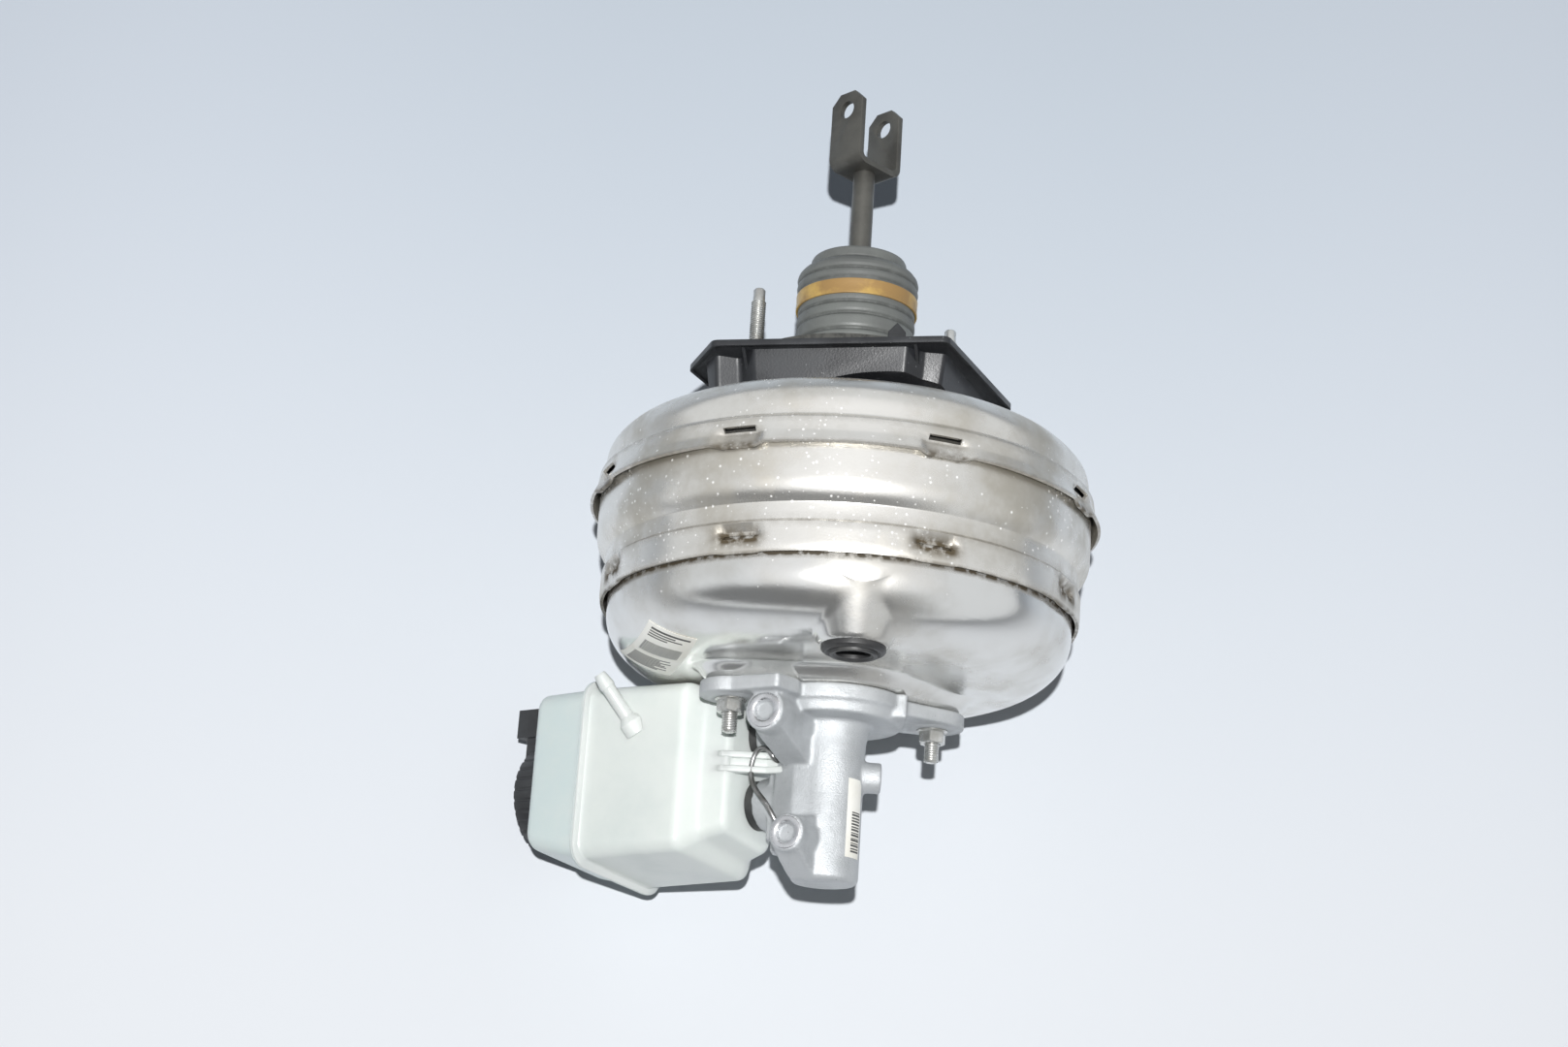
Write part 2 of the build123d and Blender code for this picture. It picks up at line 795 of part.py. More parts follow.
clip_top = gasket_thickness + clip_height
with BuildPart() as boot_clip:
    with BuildSketch(Plane.XY.offset(clip_out)):
        with BuildLine():
            Polyline(
                (clip_side - clip_width / 2, 0),
                (clip_side + clip_width / 2, 0),
                (clip_side + clip_width / 2, clip_top - clip_point),
                (clip_side, clip_top),
                (clip_side - clip_width / 2, clip_top - clip_point),
                close=True,
            )
        make_face()
    extrude(amount=clip_thickness)
write(boot_clip.part, "boot_clip")

# ---- clevis and pedal rod ----
ear_normal = Vector(cos(radians(clevis_clock)), 0, -sin(radians(clevis_clock)))
width_way = Vector(sin(radians(clevis_clock)), 0, cos(radians(clevis_clock)))
clevis_top_y = clevis_hole_height + clevis_above_hole
with BuildPart() as clevis:
    with BuildSketch(Plane(origin=(0, 0, 0), x_dir=ear_normal, z_dir=width_way)):
        with BuildLine():
            FilletPolyline(
                (-clevis_half_width, clevis_top_y),
                (-clevis_half_width, clevis_base_y),
                (clevis_half_width, clevis_base_y),
                (clevis_half_width, clevis_top_y),
                radius=clevis_bend,
            )
            offset(amount=clevis_sheet, side=Side.LEFT)
        make_face()
    extrude(amount=clevis_width / 2, both=True)
    ear_tips = clevis.edges().filter_by(Axis((0, 0, 0), ear_normal)).group_by(Axis.Y)[-1]
    chamfer(ear_tips, length=clevis_chamfer)
    pin_start = ear_normal * -(clevis_half_width + 1) + Vector(0, clevis_hole_height, 0)
    drill(Plane(origin=pin_start, z_dir=ear_normal), clevis_hole_radius, 2 * clevis_half_width + 2)
    drill(across(clevis_base_y + clevis_sheet + 1), pedal_rod_radius + run_gap, clevis_sheet + 2)
write(clevis.part, "clevis")

ball_y = valve_seat_y - ball_in
rod_collar_y = valve_seat_y + poppet_height + retainer + spring_seat_up
rod_neck_y = valve_seat_y + rod_neck_up
with BuildPart() as input_rod:
    ring(pedal_rod_radius, 0, clevis_base_y + clevis_sheet, rod_neck_y)
    ring(rod_head_radius, 0, clevis_base_y + clevis_sheet + rod_head, clevis_base_y + clevis_sheet)
    ring(rod_neck_radius, 0, rod_neck_y, ball_y)
    ring(spring_seat_radius, 0, rod_collar_y + spring_seat, rod_collar_y)
    with Locations((0, ball_y, 0)):
        Sphere(plunger_socket - seat_gap)
write(input_rod.part, "input_rod")

# ---- valve body and what it holds ----
neck_bore = neck_radius - neck_wall
flange_top_y = rear_plate_y - plate_sheet
key_y = flange_top_y - body_flange - key_room
groove_top_y = key_y + valve_travel + seat_gap
groove_end_y = key_y - key_sheet - seat_gap
plunger_end_y = disc_y + valve_travel + 0.8
with BuildPart() as valve_body:
    turn(
        (neck_bore, neck_end_y),
        (neck_radius, neck_end_y),
        (neck_radius, flange_top_y),
        (body_flange_radius, flange_top_y),
        (body_flange_radius, flange_top_y - body_flange),
        (body_radius, flange_top_y - body_flange),
        (body_radius, front_plate_y),
        (front_hub_radius, front_plate_y),
        (front_hub_radius, hub_front_y),
        (disc_radius + seat_gap, hub_front_y),
        (disc_radius + seat_gap, disc_y),
        (plunger_radius + run_gap, disc_y),
        (plunger_radius + run_gap, valve_floor_y),
        (valve_seat_radius, valve_floor_y),
        (valve_seat_radius, valve_seat_y - seat_gap),
        (valve_seat_radius + valve_seat_wall, valve_seat_y - seat_gap),
        (valve_seat_radius + valve_seat_wall, valve_floor_y),
        (neck_bore, valve_floor_y),
    )
    with BuildSketch(across(key_y + seat_gap)):
        with Locations((body_radius / 2, 0)):
            Rectangle(body_radius + 20, key_width + 2 * seat_gap)
    extrude(amount=key_sheet + 2 * seat_gap, mode=Mode.SUBTRACT)
    neck_rim = valve_body.edges().filter_by(GeomType.CIRCLE).group_by(Axis.Y)[-1]
    chamfer(neck_rim, length=0.6)
write(valve_body.part, "valve_body")

with BuildPart() as retaining_key:
    with BuildSketch(across(key_y)):
        with Locations((body_radius / 2, 0)):
            Rectangle(body_radius + 2 * key_past_body, key_width)
        with Locations((-body_radius / 2, 0)):
            Rectangle(body_radius, 2 * (plunger_radius - groove_depth + seat_gap), mode=Mode.SUBTRACT)
        Circle(plunger_radius - groove_depth + seat_gap, mode=Mode.SUBTRACT)
    extrude(amount=key_sheet)
write(retaining_key.part, "retaining_key")

with BuildPart() as valve_plunger:
    ring(plunger_head_radius, 0, valve_seat_y - seat_gap, valve_floor_y + valve_travel + seat_gap)
    ring(plunger_radius, 0, valve_floor_y + valve_travel + seat_gap, plunger_end_y)
    ring(plunger_radius + 1, plunger_radius - groove_depth, groove_top_y, groove_end_y, mode=Mode.SUBTRACT)
    drill(across(valve_seat_y), plunger_socket - 0.4, ball_in + 0.3)
    with Locations((0, ball_y, 0)):
        Sphere(plunger_socket, mode=Mode.SUBTRACT)
write(valve_plunger.part, "valve_plunger")

retainer_y = valve_seat_y + poppet_height
with BuildPart() as poppet_valve:
    ring(poppet_radius, poppet_bore, valve_seat_y + poppet_face, valve_seat_y)
    ring(poppet_radius, poppet_radius - poppet_wall, retainer_y, valve_seat_y + poppet_face)
    ring(neck_bore - seat_gap, poppet_radius - poppet_wall, retainer_y, retainer_y - poppet_rim)
write(poppet_valve.part, "poppet_valve")

with BuildPart() as valve_retainer:
    ring(neck_bore - run_gap, retainer_bore, retainer_y + retainer, retainer_y)
write(valve_retainer.part, "valve_retainer")

with BuildPart() as poppet_spring:
    coil(poppet_coil_radius, poppet_coil_radius, poppet_wire, retainer_y - 0.1,
         valve_seat_y + poppet_face + 0.1, poppet_turns)
write(poppet_spring.part, "poppet_spring")

with BuildPart() as rod_return_spring:
    coil(rod_coil_radius, rod_coil_radius, rod_wire, rod_collar_y - 0.1,
         retainer_y + retainer + 0.1, rod_turns)
write(rod_return_spring.part, "rod_return_spring")

with BuildPart() as reaction_disc:
    ring(disc_radius, 0, disc_y - 0.1, disc_y - disc_thickness)
write(reaction_disc.part, "reaction_disc")

with BuildPart() as output_rod:
    ring(disc_radius, 0, disc_y - disc_thickness, disc_y - disc_thickness - output_head)
    ring(output_rod_radius, 0, disc_y - disc_thickness - output_head, stem_end_y - stem_socket + 0.1)
write(output_rod.part, "output_rod")

with BuildPart() as air_filter:
    ring(neck_bore - 0.1, pedal_rod_radius + 0.5, neck_end_y - 1.0, neck_end_y - 1.0 - filter_length)
write(air_filter.part, "air_filter")

# ---- piston plates, diaphragms and seals ----
for plate_name, plate_y, hole in (
    ("rear_piston_plate", rear_plate_y, neck_radius + seat_gap),
    ("front_piston_plate", front_plate_y, front_hub_radius + seat_gap),
):
    with BuildPart() as piston_plate:
        pressed(
            [(hole, plate_y), (plate_radius, plate_y), (plate_radius, plate_y - plate_rim)],
            [plate_bend],
            plate_sheet,
        )
        drill(across(plate_y + 1), shank_radius + 1.7, plate_sheet + 2, rod_places)
    write(piston_plate.part, plate_name)

diaphragm_out = plate_radius + seat_gap + rubber
for rubber_name, plate_y, inner, bead_inner, bead_outer, bead_top, bead_foot in (
    ("rear_diaphragm", rear_plate_y, neck_radius + seat_gap, rear_radius - bead_grip, rear_radius - sheet - 0.4,
     crease_y + 2.0, mid_rim_y),
    ("front_diaphragm", front_plate_y, body_radius + seat_gap, plate_radius + wall_rise + 2.0,
     waist_radius - sheet - 2 * seat_gap, waist_y + bead_seat - plate_sheet, front_rim_y),
):
    with BuildPart() as diaphragm:
        loop_y = bead_foot + rubber + seat_gap
        pressed(
            [
                (inner, plate_y + rubber),
                (diaphragm_out, plate_y + rubber),
                (diaphragm_out + 0.4, loop_y),
                (bead_inner + 1.0, loop_y),
                (bead_inner + 1.0, bead_top),
            ],
            [plate_bend + rubber, 1.5, 1.0],
            rubber,
        )
        ring(bead_outer, bead_inner - 1.0, bead_top, bead_foot)
        drill(across(plate_y + rubber + 1), rod_seal_radius, rubber + 2, rod_places)
    write(diaphragm.part, rubber_name)

with BuildPart() as piston_rod_seals:
    for plate_y in (rear_plate_y, front_plate_y):
        with BuildSketch(across(plate_y)):
            with Locations(*rod_places):
                Circle(shank_radius + 1.5)
        extrude(amount=plate_sheet)
        with BuildSketch(across(plate_y - plate_sheet)):
            with Locations(*rod_places):
                Circle(rod_seal_radius)
        extrude(amount=seal_flange)
        drill(across(plate_y), shank_radius + run_gap, plate_sheet + seal_flange, rod_places)
write(piston_rod_seals.part, "piston_rod_seals")

with BuildPart() as centre_wall_rod_seals:
    with BuildSketch(across(wall_plate_y + seal_flange)):
        with Locations(*rod_places):
            Circle(rod_seal_radius + 1.5)
    extrude(amount=seal_flange)
    with BuildSketch(across(wall_plate_y)):
        with Locations(*rod_places):
            Circle(shank_radius + seal_flange - 0.2)
    extrude(amount=plate_sheet)
    drill(across(wall_plate_y + seal_flange), shank_radius + run_gap, plate_sheet + seal_flange, rod_places)
write(centre_wall_rod_seals.part, "centre_wall_rod_seals")

with BuildPart() as centre_wall_seal:
    turn(
        (body_radius + run_gap, wall_plate_y + seal_flange),
        (body_radius + 7.0, wall_plate_y + seal_flange),
        (body_radius + 7.0, wall_plate_y),
        (body_radius + seal_lip - 0.8, wall_plate_y),
        (body_radius + seal_lip - 0.8, wall_plate_y - plate_sheet),
        (body_radius + 7.0, wall_plate_y - plate_sheet),
        (body_radius + 7.0, wall_plate_y - plate_sheet - seal_flange),
        (body_radius + run_gap, wall_plate_y - plate_sheet - seal_flange),
    )
write(centre_wall_seal.part, "centre_wall_seal")

seal_split_y = platform_y - collar_depth / 2
with BuildPart() as hub_seal:
    ring(collar_radius - seat_gap, neck_radius + run_gap, platform_y - 1.5, seal_split_y)
write(hub_seal.part, "hub_seal")

with BuildPart() as guide_bush:
    ring(collar_radius - seat_gap, neck_radius + run_gap, seal_split_y, platform_y - collar_depth + seat_gap)
write(guide_bush.part, "guide_bush")

with BuildPart() as return_spring:
    coil(return_rear_radius, return_front_radius, return_wire, front_plate_y - plate_sheet - 0.2,
         flange_y + sheet + 0.2, return_turns)
write(return_spring.part, "return_spring")

port_seat_y = front_face_y - port_pad_rise
with BuildPart() as vacuum_grommet:
    for start_y, radius, length in (
        (port_seat_y + sheet + 3.0, grommet_radius - 2.0, 3.0),
        (port_seat_y + sheet, grommet_hole - 0.1, sheet),
        (port_seat_y, grommet_radius, grommet_proud),
    ):
        with BuildSketch(across(start_y)):
            with Locations(*port_place):
                Circle(radius)
        extrude(amount=length)
    proud_rim = vacuum_grommet.edges().filter_by(GeomType.CIRCLE).group_by(Axis.Y)[0]
    chamfer(proud_rim, length=1.2)
    drill(across(port_seat_y + sheet + 3.0), grommet_bore, grommet_proud + sheet + 3.0, port_place)
write(vacuum_grommet.part, "vacuum_grommet")

# ---- master cylinder ----
def turret(out, up, back, radius):
    """Line port's boss in the open part, standing out from the cylinder's bore."""
    foot = leaning(0, up, flange_y - back, port_lean)
    with BuildSketch(Plane(origin=foot, z_dir=side_of(port_lean))) as boss:
        Circle(radius)
    extrude(boss.sketch, amount=out)


def port_bore(out, up, back):
    """Line port's threaded bore, cut into the open part from the turret's face."""
    mouth = leaning(out, up, flange_y - back, port_lean)
    drill(Plane(origin=mouth, z_dir=side_of(port_lean) * -1), port_radius, port_depth)


with BuildPart() as master_cylinder_body:
    with BuildSketch(across(flange_y)):
        Circle(flange_neck_radius)
        with Locations(*rod_places):
            Circle(lobe_radius)
        make_hull()
        Polygon(*flange_corner, align=None)
        Circle(flange_core_radius)
    extrude(amount=flange_thick)
    with BuildSketch(across(flange_y - flange_thick)):
        Circle(flange_core_radius - 1.5)
    extrude(amount=flange_core_thick - flange_thick, taper=core_draft)
    with BuildSketch(across(flange_y)):
        with Locations(lug_place):
            Rectangle(*lug_size)
    extrude(amount=flange_thick + lug_proud)
    drill(across(flange_y), thread_radius + seat_gap, flange_core_thick, rod_places)
    ring(spigot_radius, 0, mouth_y, flange_y)
    turn(
        (0, flange_y),
        (cylinder_radius, flange_y),
        (cylinder_radius, cylinder_end_y + cylinder_chamfer),
        (cylinder_radius - cylinder_chamfer, cylinder_end_y),
        (0, cylinder_end_y),
    )
    with BuildSketch(Plane.YZ):
        with Locations((flange_y - stub_back, 0)):
            Circle(stub_radius)
    extrude(amount=stub_reach)
    with BuildSketch(cross_section(flange_y - web_back[0])):
        with Locations((0, web_up / 2)):
            Rectangle(2 * web_half, web_up)
    extrude(amount=web_back[1] - web_back[0])
    for inlet_y in inlet_ys:
        with BuildSketch(level(0, inlet_y)):
            Circle(inlet_radius)
        extrude(amount=inlet_up)
    turret(rear_port_out, rear_port_up, rear_port_back, rear_turret_radius)
    turret(front_port_out, front_port_up, front_port_back, front_turret_radius)
    port_bore(rear_port_out, rear_port_up, rear_port_back)
    port_bore(front_port_out, front_port_up, front_port_back)
    for inlet_y in inlet_ys:
        drill(level(inlet_up - inlet_depth, inlet_y), inlet_bore, inlet_depth)
        drill(level(0, inlet_y), feed_radius, inlet_up)
    ring(bore_radius, 0, mouth_y, bore_end_y, mode=Mode.SUBTRACT)
    groove_y = mouth_y - clip_in + 0.1
    ring(clip_groove_radius, 0, groove_y, groove_y - clip_sheet - 0.2, mode=Mode.SUBTRACT)
    ring(oring_radius + 1.7, oring_radius - 1.7, flange_y, flange_y - 2 * oring_wire, mode=Mode.SUBTRACT)
    pin_start = leaning(-web_half - 1, pin_up, pin_y)
    drill(Plane(origin=pin_start, z_dir=side_of(tank_lean)), pin_radius + 0.3, 2 * web_half + 2)
write(master_cylinder_body.part, "master_cylinder_body")

with BuildPart() as flange_seal:
    with BuildSketch(Plane.XY):
        with Locations((oring_radius, flange_y - oring_wire)):
            RegularPolygon(oring_wire - 0.05, 8)
    revolve(axis=Axis.Y)
write(flange_seal.part, "flange_seal")

with BuildPart() as circlip:
    with BuildSketch(across(mouth_y - clip_in)):
        Circle(clip_groove_radius - 0.2)
        Circle(clip_bore, mode=Mode.SUBTRACT)
        with Locations((clip_bore + 2, 0)):
            Rectangle(8, 5, mode=Mode.SUBTRACT)
    extrude(amount=clip_sheet)
write(circlip.part, "circlip")

piston_radius = bore_radius - run_gap


def piston(rear_y, length):
    """Bored piston head with two cup grooves, in the open part."""
    ring(piston_radius, 0, rear_y, rear_y - length)
    for cup_y in (rear_y - cup_in, rear_y - length + cup_in + cup_width):
        ring(piston_radius + 1, piston_radius - cup_depth, cup_y, cup_y - cup_width, mode=Mode.SUBTRACT)
    ring(piston_radius - piston_wall, 0, rear_y - length + piston_recess, rear_y - length, mode=Mode.SUBTRACT)


with BuildPart() as primary_piston:
    piston(piston_rear_y, piston_head)
    ring(piston_stem_radius, 0, stem_end_y, piston_rear_y)
    ring(output_rod_radius + 0.5, 0, stem_end_y, stem_end_y - stem_socket, mode=Mode.SUBTRACT)
write(primary_piston.part, "primary_piston")

with BuildPart() as secondary_piston:
    piston(floating_rear_y, floating_head)
write(secondary_piston.part, "secondary_piston")

for cups_name, rear_y, length in (
    ("primary_cups", piston_rear_y, piston_head),
    ("secondary_cups", floating_rear_y, floating_head),
):
    with BuildPart() as cups:
        for cup_y in (rear_y - cup_in, rear_y - length + cup_in + cup_width):
            cup_inner = piston_radius - cup_depth + run_gap
            ring(piston_radius, cup_inner, cup_y - seat_gap, cup_y - cup_width + seat_gap)
    write(cups.part, cups_name)

spring_radius = piston_radius - piston_wall - cylinder_wire / 2 - 0.5
for spring_name, start_y, end_y in (
    ("primary_spring", piston_rear_y - piston_head + piston_recess - 0.1, floating_rear_y + 0.1),
    ("secondary_spring", floating_rear_y - floating_head + piston_recess - 0.1, bore_end_y + 0.1),
):
    with BuildPart() as cylinder_spring:
        coil(spring_radius, spring_radius, cylinder_wire, start_y, end_y, cylinder_turns)
    write(cylinder_spring.part, spring_name)

with BuildPart() as reservoir_grommets:
    for inlet_y in inlet_ys:
        with BuildSketch(level(inlet_up - inlet_depth + 1.0, inlet_y)):
            Circle(inlet_bore - 0.1)
        extrude(amount=inlet_depth - 1.0)
        with BuildSketch(level(inlet_up, inlet_y)):
            Circle(grommet_lip_radius)
        extrude(amount=throat_foot_up - inlet_up - seat_gap)
        drill(level(inlet_up - inlet_depth, inlet_y), tank_neck_radius + 0.1, throat_foot_up)
write(reservoir_grommets.part, "reservoir_grommets")


# ---- reservoir ----
tank_rear_y = flange_y + tank_back
tank_front_y = flange_y - tank_front
throat_rear_y = flange_y + throat_back
throat_front_y = flange_y - throat_front


def tank_outline(near, far, rear_y, front_y, inset=0.0):
    """Level outline of the tank, drawn in by inset."""
    with BuildSketch() as outline:
        Polygon(
            (near - inset, rear_y - inset),
            (near - inset, front_y + inset),
            (-far + inset, front_y - tank_skew + inset),
            (-far + inset, rear_y - inset),
            align=None,
        )
        fillet(outline.vertices(), radius=tank_round - inset)
    return outline.sketch


def storey(low_up, low_outline, high_up, high_outline):
    """Part of the tank between two level outlines, as a solid."""
    return loft([(level(low_up) * low_outline).face(), (level(high_up) * high_outline).face()])


def seam_outline(inset):
    return tank_outline(tank_near, tank_far, tank_rear_y, tank_front_y, inset)


def lower_form(inset, top):
    """Lower half of the tank as a solid, from the foot of its throat up to the seam."""
    near_in, far_in, rear_in, front_in = throat_foot_in
    foot = tank_outline(throat_near - near_in, throat_far - far_in, throat_rear_y - rear_in,
                        throat_front_y + front_in, inset)
    throat = tank_outline(throat_near, throat_far, throat_rear_y, throat_front_y, inset)
    belly = seam_outline(inset + belly_in)
    with BuildPart() as form:
        add(storey(throat_foot_up + inset, foot, throat_up, throat))
        add(storey(throat_up, throat, belly_up, belly))
        add(storey(belly_up, belly, top, seam_outline(inset)))
    return form.part


def seam(up):
    """Flat rim that the two halves of the tank are welded along."""
    with BuildSketch(level(up)) as rim:
        add(seam_outline(-seam_rim))
        add(seam_outline(tank_wall), mode=Mode.SUBTRACT)
    return rim.sketch


arm_rear_y = flange_y - arm_back[0]
arm_front_y = flange_y - arm_back[1]
spout_foot = leaning(tank_near - tank_wall, spout_up, flange_y - spout_back)
spout_way = leaning(*spout_aim).normalized()
with BuildPart() as reservoir_lower:
    add(lower_form(0.0, seam_up))
    extrude(seam(seam_up - seam_sheet), amount=seam_sheet)
    with BuildSketch(cross_section(arm_rear_y)):
        with BuildLine():
            Polyline(
                (throat_near - 3, throat_up),
                (throat_near - 1, throat_foot_up + 4),
                (web_half + seat_gap + arm_sheet, pin_up + 6),
                (web_half + seat_gap + arm_sheet - 1, pin_up - 6),
                (web_half + seat_gap, pin_up - 6),
                (web_half + seat_gap, pin_up + 7),
                (throat_near - 7, throat_foot_up + 2),
                (throat_near - 7, throat_up),
                close=True,
            )
        make_face()
    extrude(amount=arm_rear_y - arm_front_y)
    for inlet_y in inlet_ys:
        with BuildSketch(level(neck_foot_up, inlet_y)):
            Circle(tank_neck_radius)
        extrude(amount=throat_foot_up - neck_foot_up + 1)
    with BuildSketch(Plane(origin=spout_foot, z_dir=spout_way)):
        Circle(spout_radius)
    extrude(amount=spout_length, taper=1.5)
    add(lower_form(tank_wall, seam_up + 1.0), mode=Mode.SUBTRACT)
    for inlet_y in inlet_ys:
        drill(level(neck_foot_up, inlet_y), tank_neck_radius - tank_neck_wall, throat_foot_up)
    drill(Plane(origin=spout_foot - spout_way * 3, z_dir=spout_way), spout_bore, spout_length + 6)
    pin_start = leaning(web_half - 1, pin_up, pin_y)
    drill(Plane(origin=pin_start, z_dir=side_of(tank_lean)), pin_radius + 0.3, 12)
write(reservoir_lower.part, "reservoir_lower")


def upper_form(inset, foot):
    """Upper half of the tank as a solid, from the seam to the flat top."""
    top = tank_outline(top_near, top_far, tank_rear_y, tank_front_y + top_draft, inset)
    with BuildPart() as form:
        add(storey(foot, seam_outline(inset), tank_top - inset, top))
    return form.part


with BuildPart() as reservoir_upper:
    add(upper_form(0.0, seam_up))
    extrude(seam(seam_up), amount=seam_sheet)
    with BuildSketch(level(tank_top - tank_wall, cap_y)):
        Circle(filler_radius)
    extrude(amount=tank_wall + filler_height)
    add(upper_form(tank_wall, seam_up), mode=Mode.SUBTRACT)
    drill(level(tank_top - 2 * tank_wall, cap_y), filler_radius - tank_wall, filler_height + 3 * tank_wall)
write(reservoir_upper.part, "reservoir_upper")

cap_top_up = tank_top + filler_height + 2 * cap_sheet
with BuildPart() as reservoir_cap:
    with BuildSketch(level(cap_top_up - cap_depth, cap_y)):
        Circle(cap_radius)
    extrude(amount=cap_depth)
    drill(level(cap_top_up - cap_depth, cap_y), filler_radius + seat_gap, cap_depth - cap_sheet)
    drill(level(cap_top_up - cap_depth, cap_y), cap_opening + seat_gap, cap_depth)
    for rib_turn in range(0, 360, rib_pitch):
        with BuildSketch(level(cap_top_up - cap_depth, cap_y)):
            with Locations(Location((0, 0), rib_turn)):
                with Locations((cap_radius + rib_radius / 2, 0)):
                    Circle(rib_radius)
        extrude(amount=cap_depth, mode=Mode.SUBTRACT)
write(reservoir_cap.part, "reservoir_cap")

with BuildPart() as cap_seal:
    with BuildSketch(level(tank_top + filler_height + strainer_sheet, cap_y)):
        Circle(filler_radius - 0.5)
        Circle(cap_opening + 3.0, mode=Mode.SUBTRACT)
    extrude(amount=cap_sheet - strainer_sheet)
write(cap_seal.part, "cap_seal")

with BuildPart() as strainer:
    with BuildSketch(level(tank_top + filler_height, cap_y)):
        Circle(filler_radius - 0.2)
    extrude(amount=strainer_sheet)
    with BuildSketch(level(tank_top + filler_height - strainer_depth, cap_y)):
        Circle(strainer_radius)
    extrude(amount=strainer_depth)
    drill(level(tank_top + filler_height - strainer_depth + strainer_sheet, cap_y),
          strainer_radius - strainer_sheet, strainer_depth + 2)
    for window_turn in (0, 60, 120):
        window_way = side_of(tank_lean) * cos(radians(window_turn)) + Vector(0, sin(radians(window_turn)), 0)
        window_place = leaning(0, tank_top - window_down, cap_y)
        with BuildSketch(Plane(origin=window_place, x_dir=up_of(tank_lean), z_dir=window_way)):
            SlotOverall(*window_size)
        extrude(amount=strainer_radius + 2, both=True, mode=Mode.SUBTRACT)
write(strainer.part, "strainer")

sensor_head_up = cap_top_up + seat_gap
sensor_foot_up = tank_top + filler_height - strainer_depth + sensor_head
with BuildPart() as level_sensor:
    with BuildSketch(level(sensor_foot_up, cap_y)):
        Circle(sensor_foot_radius)
    extrude(amount=2.0)
    with BuildSketch(level(sensor_foot_up, cap_y)):
        Circle(sensor_stem_radius)
    extrude(amount=sensor_head_up - sensor_foot_up)
    with BuildSketch(level(tank_top + filler_height - 4.0, cap_y)):
        Circle(cap_opening)
    extrude(amount=sensor_head_up - tank_top - filler_height + 4.0)
    with BuildSketch(level(sensor_head_up, cap_y)):
        Circle(sensor_head_radius)
    extrude(amount=sensor_head)
    with BuildSketch(level(sensor_head_up, cap_y)):
        with Locations((sensor_arm_width / 2, sensor_arm_reach / 2 - sensor_head)):
            Rectangle(sensor_arm_width, sensor_arm_reach + 2 * sensor_head)
    extrude(amount=sensor_arm_height)
    with BuildSketch(level(sensor_head_up, cap_y)):
        with Locations((sensor_arm_width / 2, sensor_arm_reach - sensor_socket_length / 2)):
            Rectangle(sensor_arm_width + 2 * sensor_socket_wall, sensor_socket_length)
    extrude(amount=sensor_socket_height)
    socket_up = sensor_head_up + sensor_socket_height / 2
    socket_mouth = leaning(sensor_arm_width / 2, socket_up, cap_y + sensor_arm_reach)
    with BuildSketch(Plane(origin=socket_mouth, x_dir=side_of(tank_lean), z_dir=(0, -1, 0))):
        Rectangle(sensor_arm_width, sensor_socket_height - 2 * sensor_socket_wall)
    extrude(amount=sensor_socket_depth, mode=Mode.SUBTRACT)
write(level_sensor.part, "level_sensor")

float_up = tank_top - tank_wall - float_height
with BuildPart() as float_ring:
    with BuildSketch(level(float_up, cap_y)):
        Circle(float_radius)
        Circle(sensor_stem_radius + seat_gap, mode=Mode.SUBTRACT)
    extrude(amount=float_height)
write(float_ring.part, "float")

with BuildPart() as wire_clip:
    with BuildLine() as route:
        FilletPolyline(
            *[leaning(web_half + side, pin_up + up, pin_y + along) for side, up, along in wire_route],
            radius=wire_bends,
        )
    with BuildSketch(Plane(origin=route.line @ 0, z_dir=route.line % 0)):
        Circle(pin_radius)
    sweep(path=route.line)
write(wire_clip.part, "wire_clip")
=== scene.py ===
from contextlib import contextmanager
import json
import math

import bmesh
import bpy
import numpy as np
from mathutils import Matrix, Vector


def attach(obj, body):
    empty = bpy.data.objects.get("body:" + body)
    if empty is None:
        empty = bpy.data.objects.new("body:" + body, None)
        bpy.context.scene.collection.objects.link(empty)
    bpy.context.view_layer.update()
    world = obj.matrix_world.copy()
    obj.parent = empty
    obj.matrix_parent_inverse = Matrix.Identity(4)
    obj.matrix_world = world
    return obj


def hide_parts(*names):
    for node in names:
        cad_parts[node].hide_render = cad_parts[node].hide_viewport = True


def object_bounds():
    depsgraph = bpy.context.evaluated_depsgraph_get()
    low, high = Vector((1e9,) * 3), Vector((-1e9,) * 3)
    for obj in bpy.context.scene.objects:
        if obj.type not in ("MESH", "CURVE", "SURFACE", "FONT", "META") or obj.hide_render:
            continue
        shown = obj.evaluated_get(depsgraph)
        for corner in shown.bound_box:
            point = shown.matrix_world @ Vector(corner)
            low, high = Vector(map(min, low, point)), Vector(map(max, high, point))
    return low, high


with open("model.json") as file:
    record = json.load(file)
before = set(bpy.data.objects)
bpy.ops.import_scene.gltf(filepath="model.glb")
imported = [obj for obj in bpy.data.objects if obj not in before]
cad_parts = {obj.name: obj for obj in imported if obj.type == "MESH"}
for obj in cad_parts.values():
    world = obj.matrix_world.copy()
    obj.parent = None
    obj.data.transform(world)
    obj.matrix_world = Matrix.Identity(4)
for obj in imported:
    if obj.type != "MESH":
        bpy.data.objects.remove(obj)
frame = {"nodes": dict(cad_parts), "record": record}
cadLow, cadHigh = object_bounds()
mm = 0.001
print("frame loaded", len(frame["nodes"]), "nodes")


def linear(red, green, blue):
    def one(value):
        share = value / 255
        return share / 12.92 if share <= 0.04045 else ((share + 0.055) / 1.055) ** 2.4
    return (one(red), one(green), one(blue), 1.0)


def fill(tree, node, inputs):
    for label, value in inputs.items():
        if isinstance(value, bpy.types.NodeSocket):
            tree.links.new(value, node.inputs[label])
        else:
            node.inputs[label].default_value = value
    return node


def addNode(tree, kind, inputs=None, **values):
    made = tree.nodes.new(kind)
    for name, value in values.items():
        setattr(made, name, value)
    return fill(tree, made, inputs or {})


